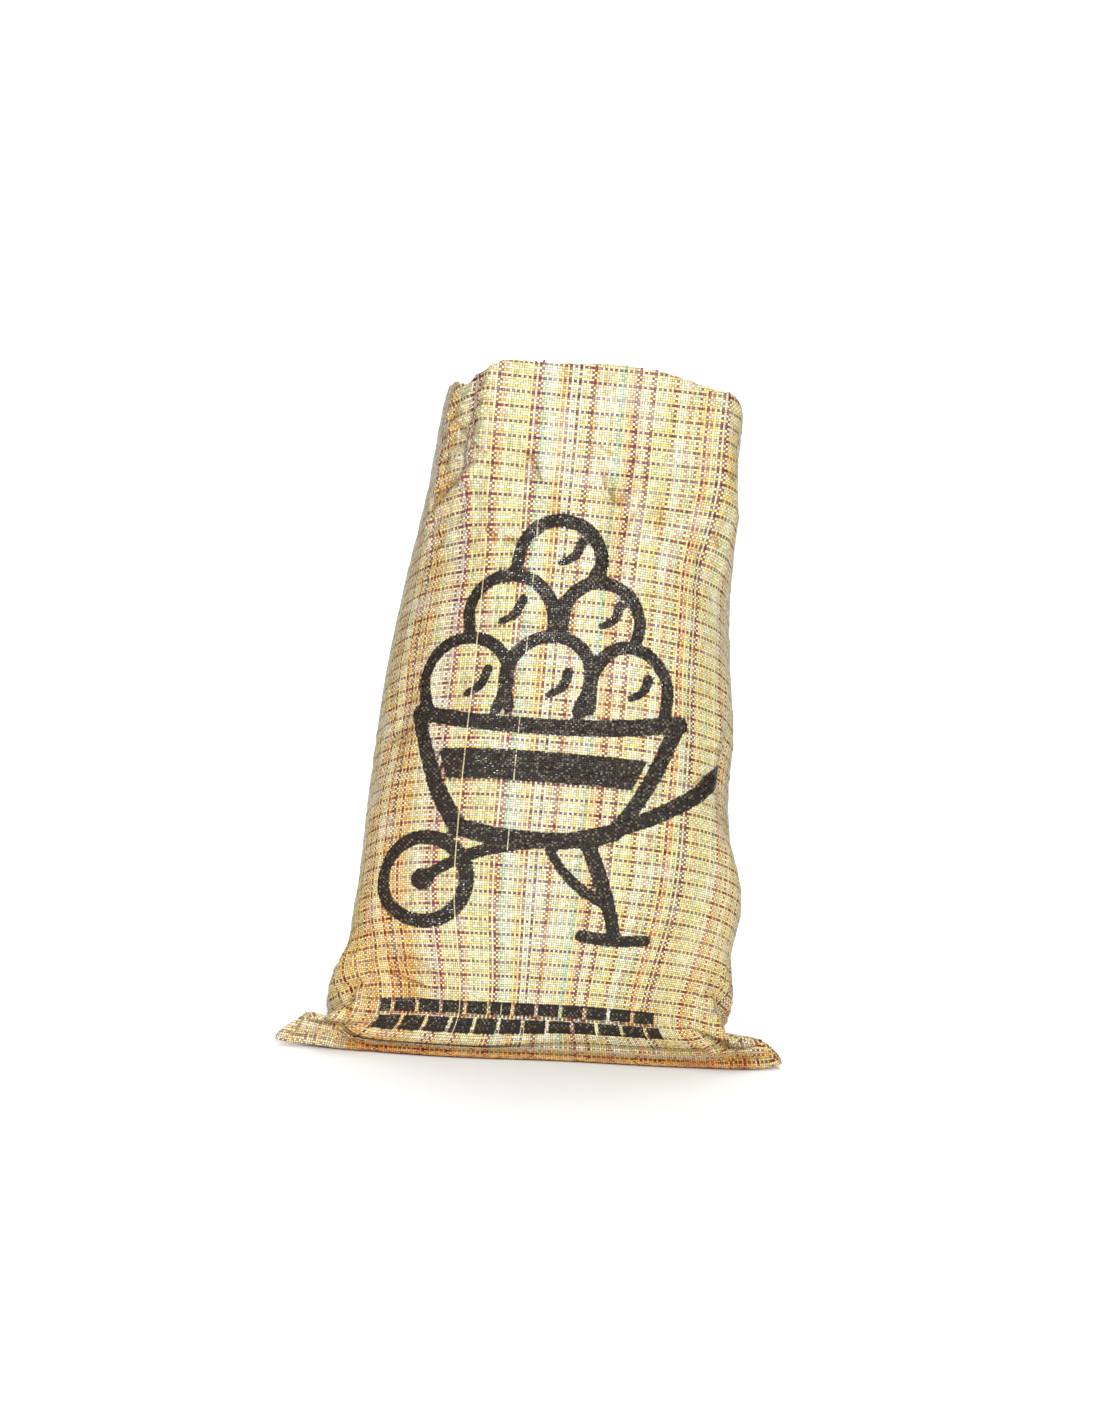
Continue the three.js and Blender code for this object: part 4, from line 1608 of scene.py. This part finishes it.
@dataclass
class FrayedMouth:
    """The cut ends of the warp tapes that stand up from the raw mouth. In millimetres."""

    pitch: float = 2.5
    share_wide: float = 0.86
    below: float = 2.2
    rows: int = 4
    thickness: float = 0.14
    length: float = 1.2
    few: float = 0.06
    longer: tuple = (1.0, 3.0)
    lean: float = 0.16
    sway: float = 0.10
    seed: int = 17

    def build(self, cloth: SackCloth) -> Piece:
        """Makes one short ribbon for each tape.

        Args:
            cloth: the settled sack.

        Returns:
            One object of ribbons. Each is a strip carried from a little below the edge along the
            cloth's own upward direction to its own length, leaning a little in or out.
        """
        rng = np.random.default_rng(self.seed)
        count = round(2 * HALF_GIRTH / self.pitch)
        each = (count, 1, 1, 1)
        length = rng.uniform(0.0, self.length, each)
        length = length + (rng.random(each) < self.few) * rng.uniform(*self.longer, each)
        lean, sway = rng.normal(0.0, self.lean, each), rng.normal(0.0, self.sway, each)
        middle = -HALF_GIRTH + self.pitch * (np.arange(count) + 0.5)
        warp = middle[:, None, None] + np.array([-0.5, 0.5]) * self.pitch * self.share_wide
        base, normal, rising, round_ = cloth.rim(warp)
        share = np.linspace(0.0, 1.0, self.rows)[:, None, None]
        high = -self.below + (length + self.below) * share
        out = np.maximum(high, 0.0) * lean - cloth.wall / 2
        points = base + rising * high + normal * out + round_ * (np.maximum(high, 0.0) * sway)
        places = np.stack(np.broadcast_arrays(warp, high[..., 0]), -1)
        piece = new_piece("frayed_mouth", points * MM, places * MM)
        add_wall(piece, self.thickness, 0.0)
        return piece


@dataclass
class StrayThreads:
    """A few thin fibres that have come loose at the mouth. Sizes in millimetres.

    Each is where it leaves the cloth, how far it goes sideways, out and up, and its bow.
    """

    from_mouth: tuple = (
        (-102.0, -14.0, 5.0, 13.0, 2.0), (-130.0, 8.0, 5.0, 5.0, -2.0),
        (8.0, -17.0, 3.0, 12.0, 3.0), (-28.0, 12.0, 4.0, 3.0, 2.0), (146.0, -7.0, 6.0, 6.0, 3.0),
        (-301.0, 9.0, 4.0, 7.0, 3.0), (420.0, -12.0, 4.0, 7.0, 3.0),
    )
    radius: float = 0.28
    steps: int = 12
    rooted: float = 2.0
    bow_out: float = 0.4
    bow_up: float = 0.5

    def build(self, cloth: SackCloth) -> Piece:
        """Makes the fibres.

        Args:
            cloth: the settled sack.

        Returns:
            One object of thin rods, each a line that bows to one side like half a sine wave.
        """
        warp, sideways, out, up, bow = np.array(self.from_mouth).T[:, :, None, None]
        base, normal, rising, round_ = cloth.rim(warp[..., 0])
        share = np.linspace(0.0, 1.0, self.steps)[None, :, None]
        bow = np.sin(math.pi * share) * bow
        paths = (
            base - rising * self.rooted - normal * cloth.wall / 2
            + round_ * share * sideways
            + normal * (share * out + bow * self.bow_out)
            + rising * (np.sqrt(share) * up + bow * self.bow_up)
        )
        return new_rods("stray_threads", paths * MM, self.radius * MM)


@dataclass(frozen=True)
class Studio:
    """The pale floor that curves up into a backdrop, the soft light and the camera."""

    distance: float = 2.34
    height: float = 0.515
    azimuth: float = -3.5
    roll: float = 5.0
    target: tuple = (-0.008, -0.060, 0.364)
    lens: float = 56.7
    sensor: float = 36.0
    floor_half: float = 7.0
    wall_y: float = 4.0
    wall_top: float = 5.5
    bend: float = 1.2
    bend_steps: int = 12
    drop: float = 0.0004
    surround: float = 0.12
    # name, place, aim, side and watts of each lamp
    lamps: tuple = (
        ("key", (0.16, -2.70, 1.20), (0.0, 0.0, 0.37), 0.45, 84.0),
        ("top", (0.0, 0.0, 3.4), (0.0, 0.0, 0.0), 2.5, 64.0),
        ("backdrop_lamp", (0.0, 1.4, 3.0), (0.0, 4.0, 0.9), 2.5, 150.0),
    )

    def floor(self) -> None:
        """A floor just under the sack: a line, a quarter circle and a line, carried across x."""
        turn, bend = np.linspace(0.0, math.pi / 2, self.bend_steps + 1), self.bend
        y = [-self.floor_half, *(self.wall_y - bend + bend * np.sin(turn)), self.wall_y]
        z = np.array([0.0, *(bend * (1 - np.cos(turn))), self.wall_top]) - self.drop
        x = np.array([-self.floor_half, self.floor_half])
        points = np.stack(np.broadcast_arrays(x, np.array(y)[:, None], z[:, None]), -1)
        floor = new_piece("floor", points, np.zeros((len(y), 2, 2)))
        floor.data.materials.append(PaleFloor().material())

    @staticmethod
    def aimed(place: Vector, aim: Vector) -> Matrix:
        """The transform of a lamp or camera that stands at one point and looks at another."""
        turn = (aim - place).to_track_quat("-Z", "Y").to_matrix().to_4x4()
        return Matrix.Translation(place) @ turn

    def camera(self) -> None:
        """The camera, a little above the sack and leaning a little, aimed at its middle."""
        data = bpy.data.cameras.new("camera")
        data.lens, data.sensor_width = self.lens, self.sensor
        around, target = math.radians(self.azimuth), Vector(self.target)
        place = target + Vector((math.sin(around), -math.cos(around), 0.0)) * self.distance
        place.z = self.height
        camera = put("camera", data)
        roll = Matrix.Rotation(math.radians(self.roll), 4, "Z")
        camera.matrix_world = self.aimed(place, target) @ roll
        bpy.context.scene.camera = camera

    def light(self) -> None:
        """An even white surround and soft square lamps."""
        world = bpy.data.worlds.new("surround")
        world.use_nodes = True
        background = world.node_tree.nodes["Background"].inputs
        background["Color"].default_value = (1, 1, 1, 1)
        background["Strength"].default_value = self.surround
        bpy.context.scene.world = world
        for name, place, aim, side, watts in self.lamps:
            data = bpy.data.lights.new(name, "AREA")
            data.size, data.energy = side, watts
            put(name, data).matrix_world = self.aimed(Vector(place), Vector(aim))
        bpy.context.scene.view_settings.view_transform = "Standard"


def main() -> None:
    """Builds the sack, its seam and its loose ends, and the studio, and reports each piece."""
    cloth = SackCloth()
    cloth.settle()
    sack = cloth.build()
    seam, frayed = HemSeam().build(cloth), FrayedMouth().build(cloth)
    threads = StrayThreads().build(cloth)
    finishes = {
        sack: (WovenTape(), WovenTape(name="woven_tape_inside", printed=False)),
        seam: (TwistedThread(),),
        frayed: (LooseTape(),),
        threads: (TwistedThread(name="loose_fibre", colour=(0.60, 0.42, 0.10)),),
    }
    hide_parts("sack")
    for piece, layers in finishes.items():
        for layer in layers:
            piece.data.materials.append(layer.material())
        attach(piece, "root")
        log.info("%s: %d faces", piece.name, len(piece.data.polygons))
    studio = Studio()
    studio.floor()
    studio.camera()
    studio.light()


if __name__ == "__main__":
    logging.basicConfig(level=logging.INFO, format="%(message)s")
    main()
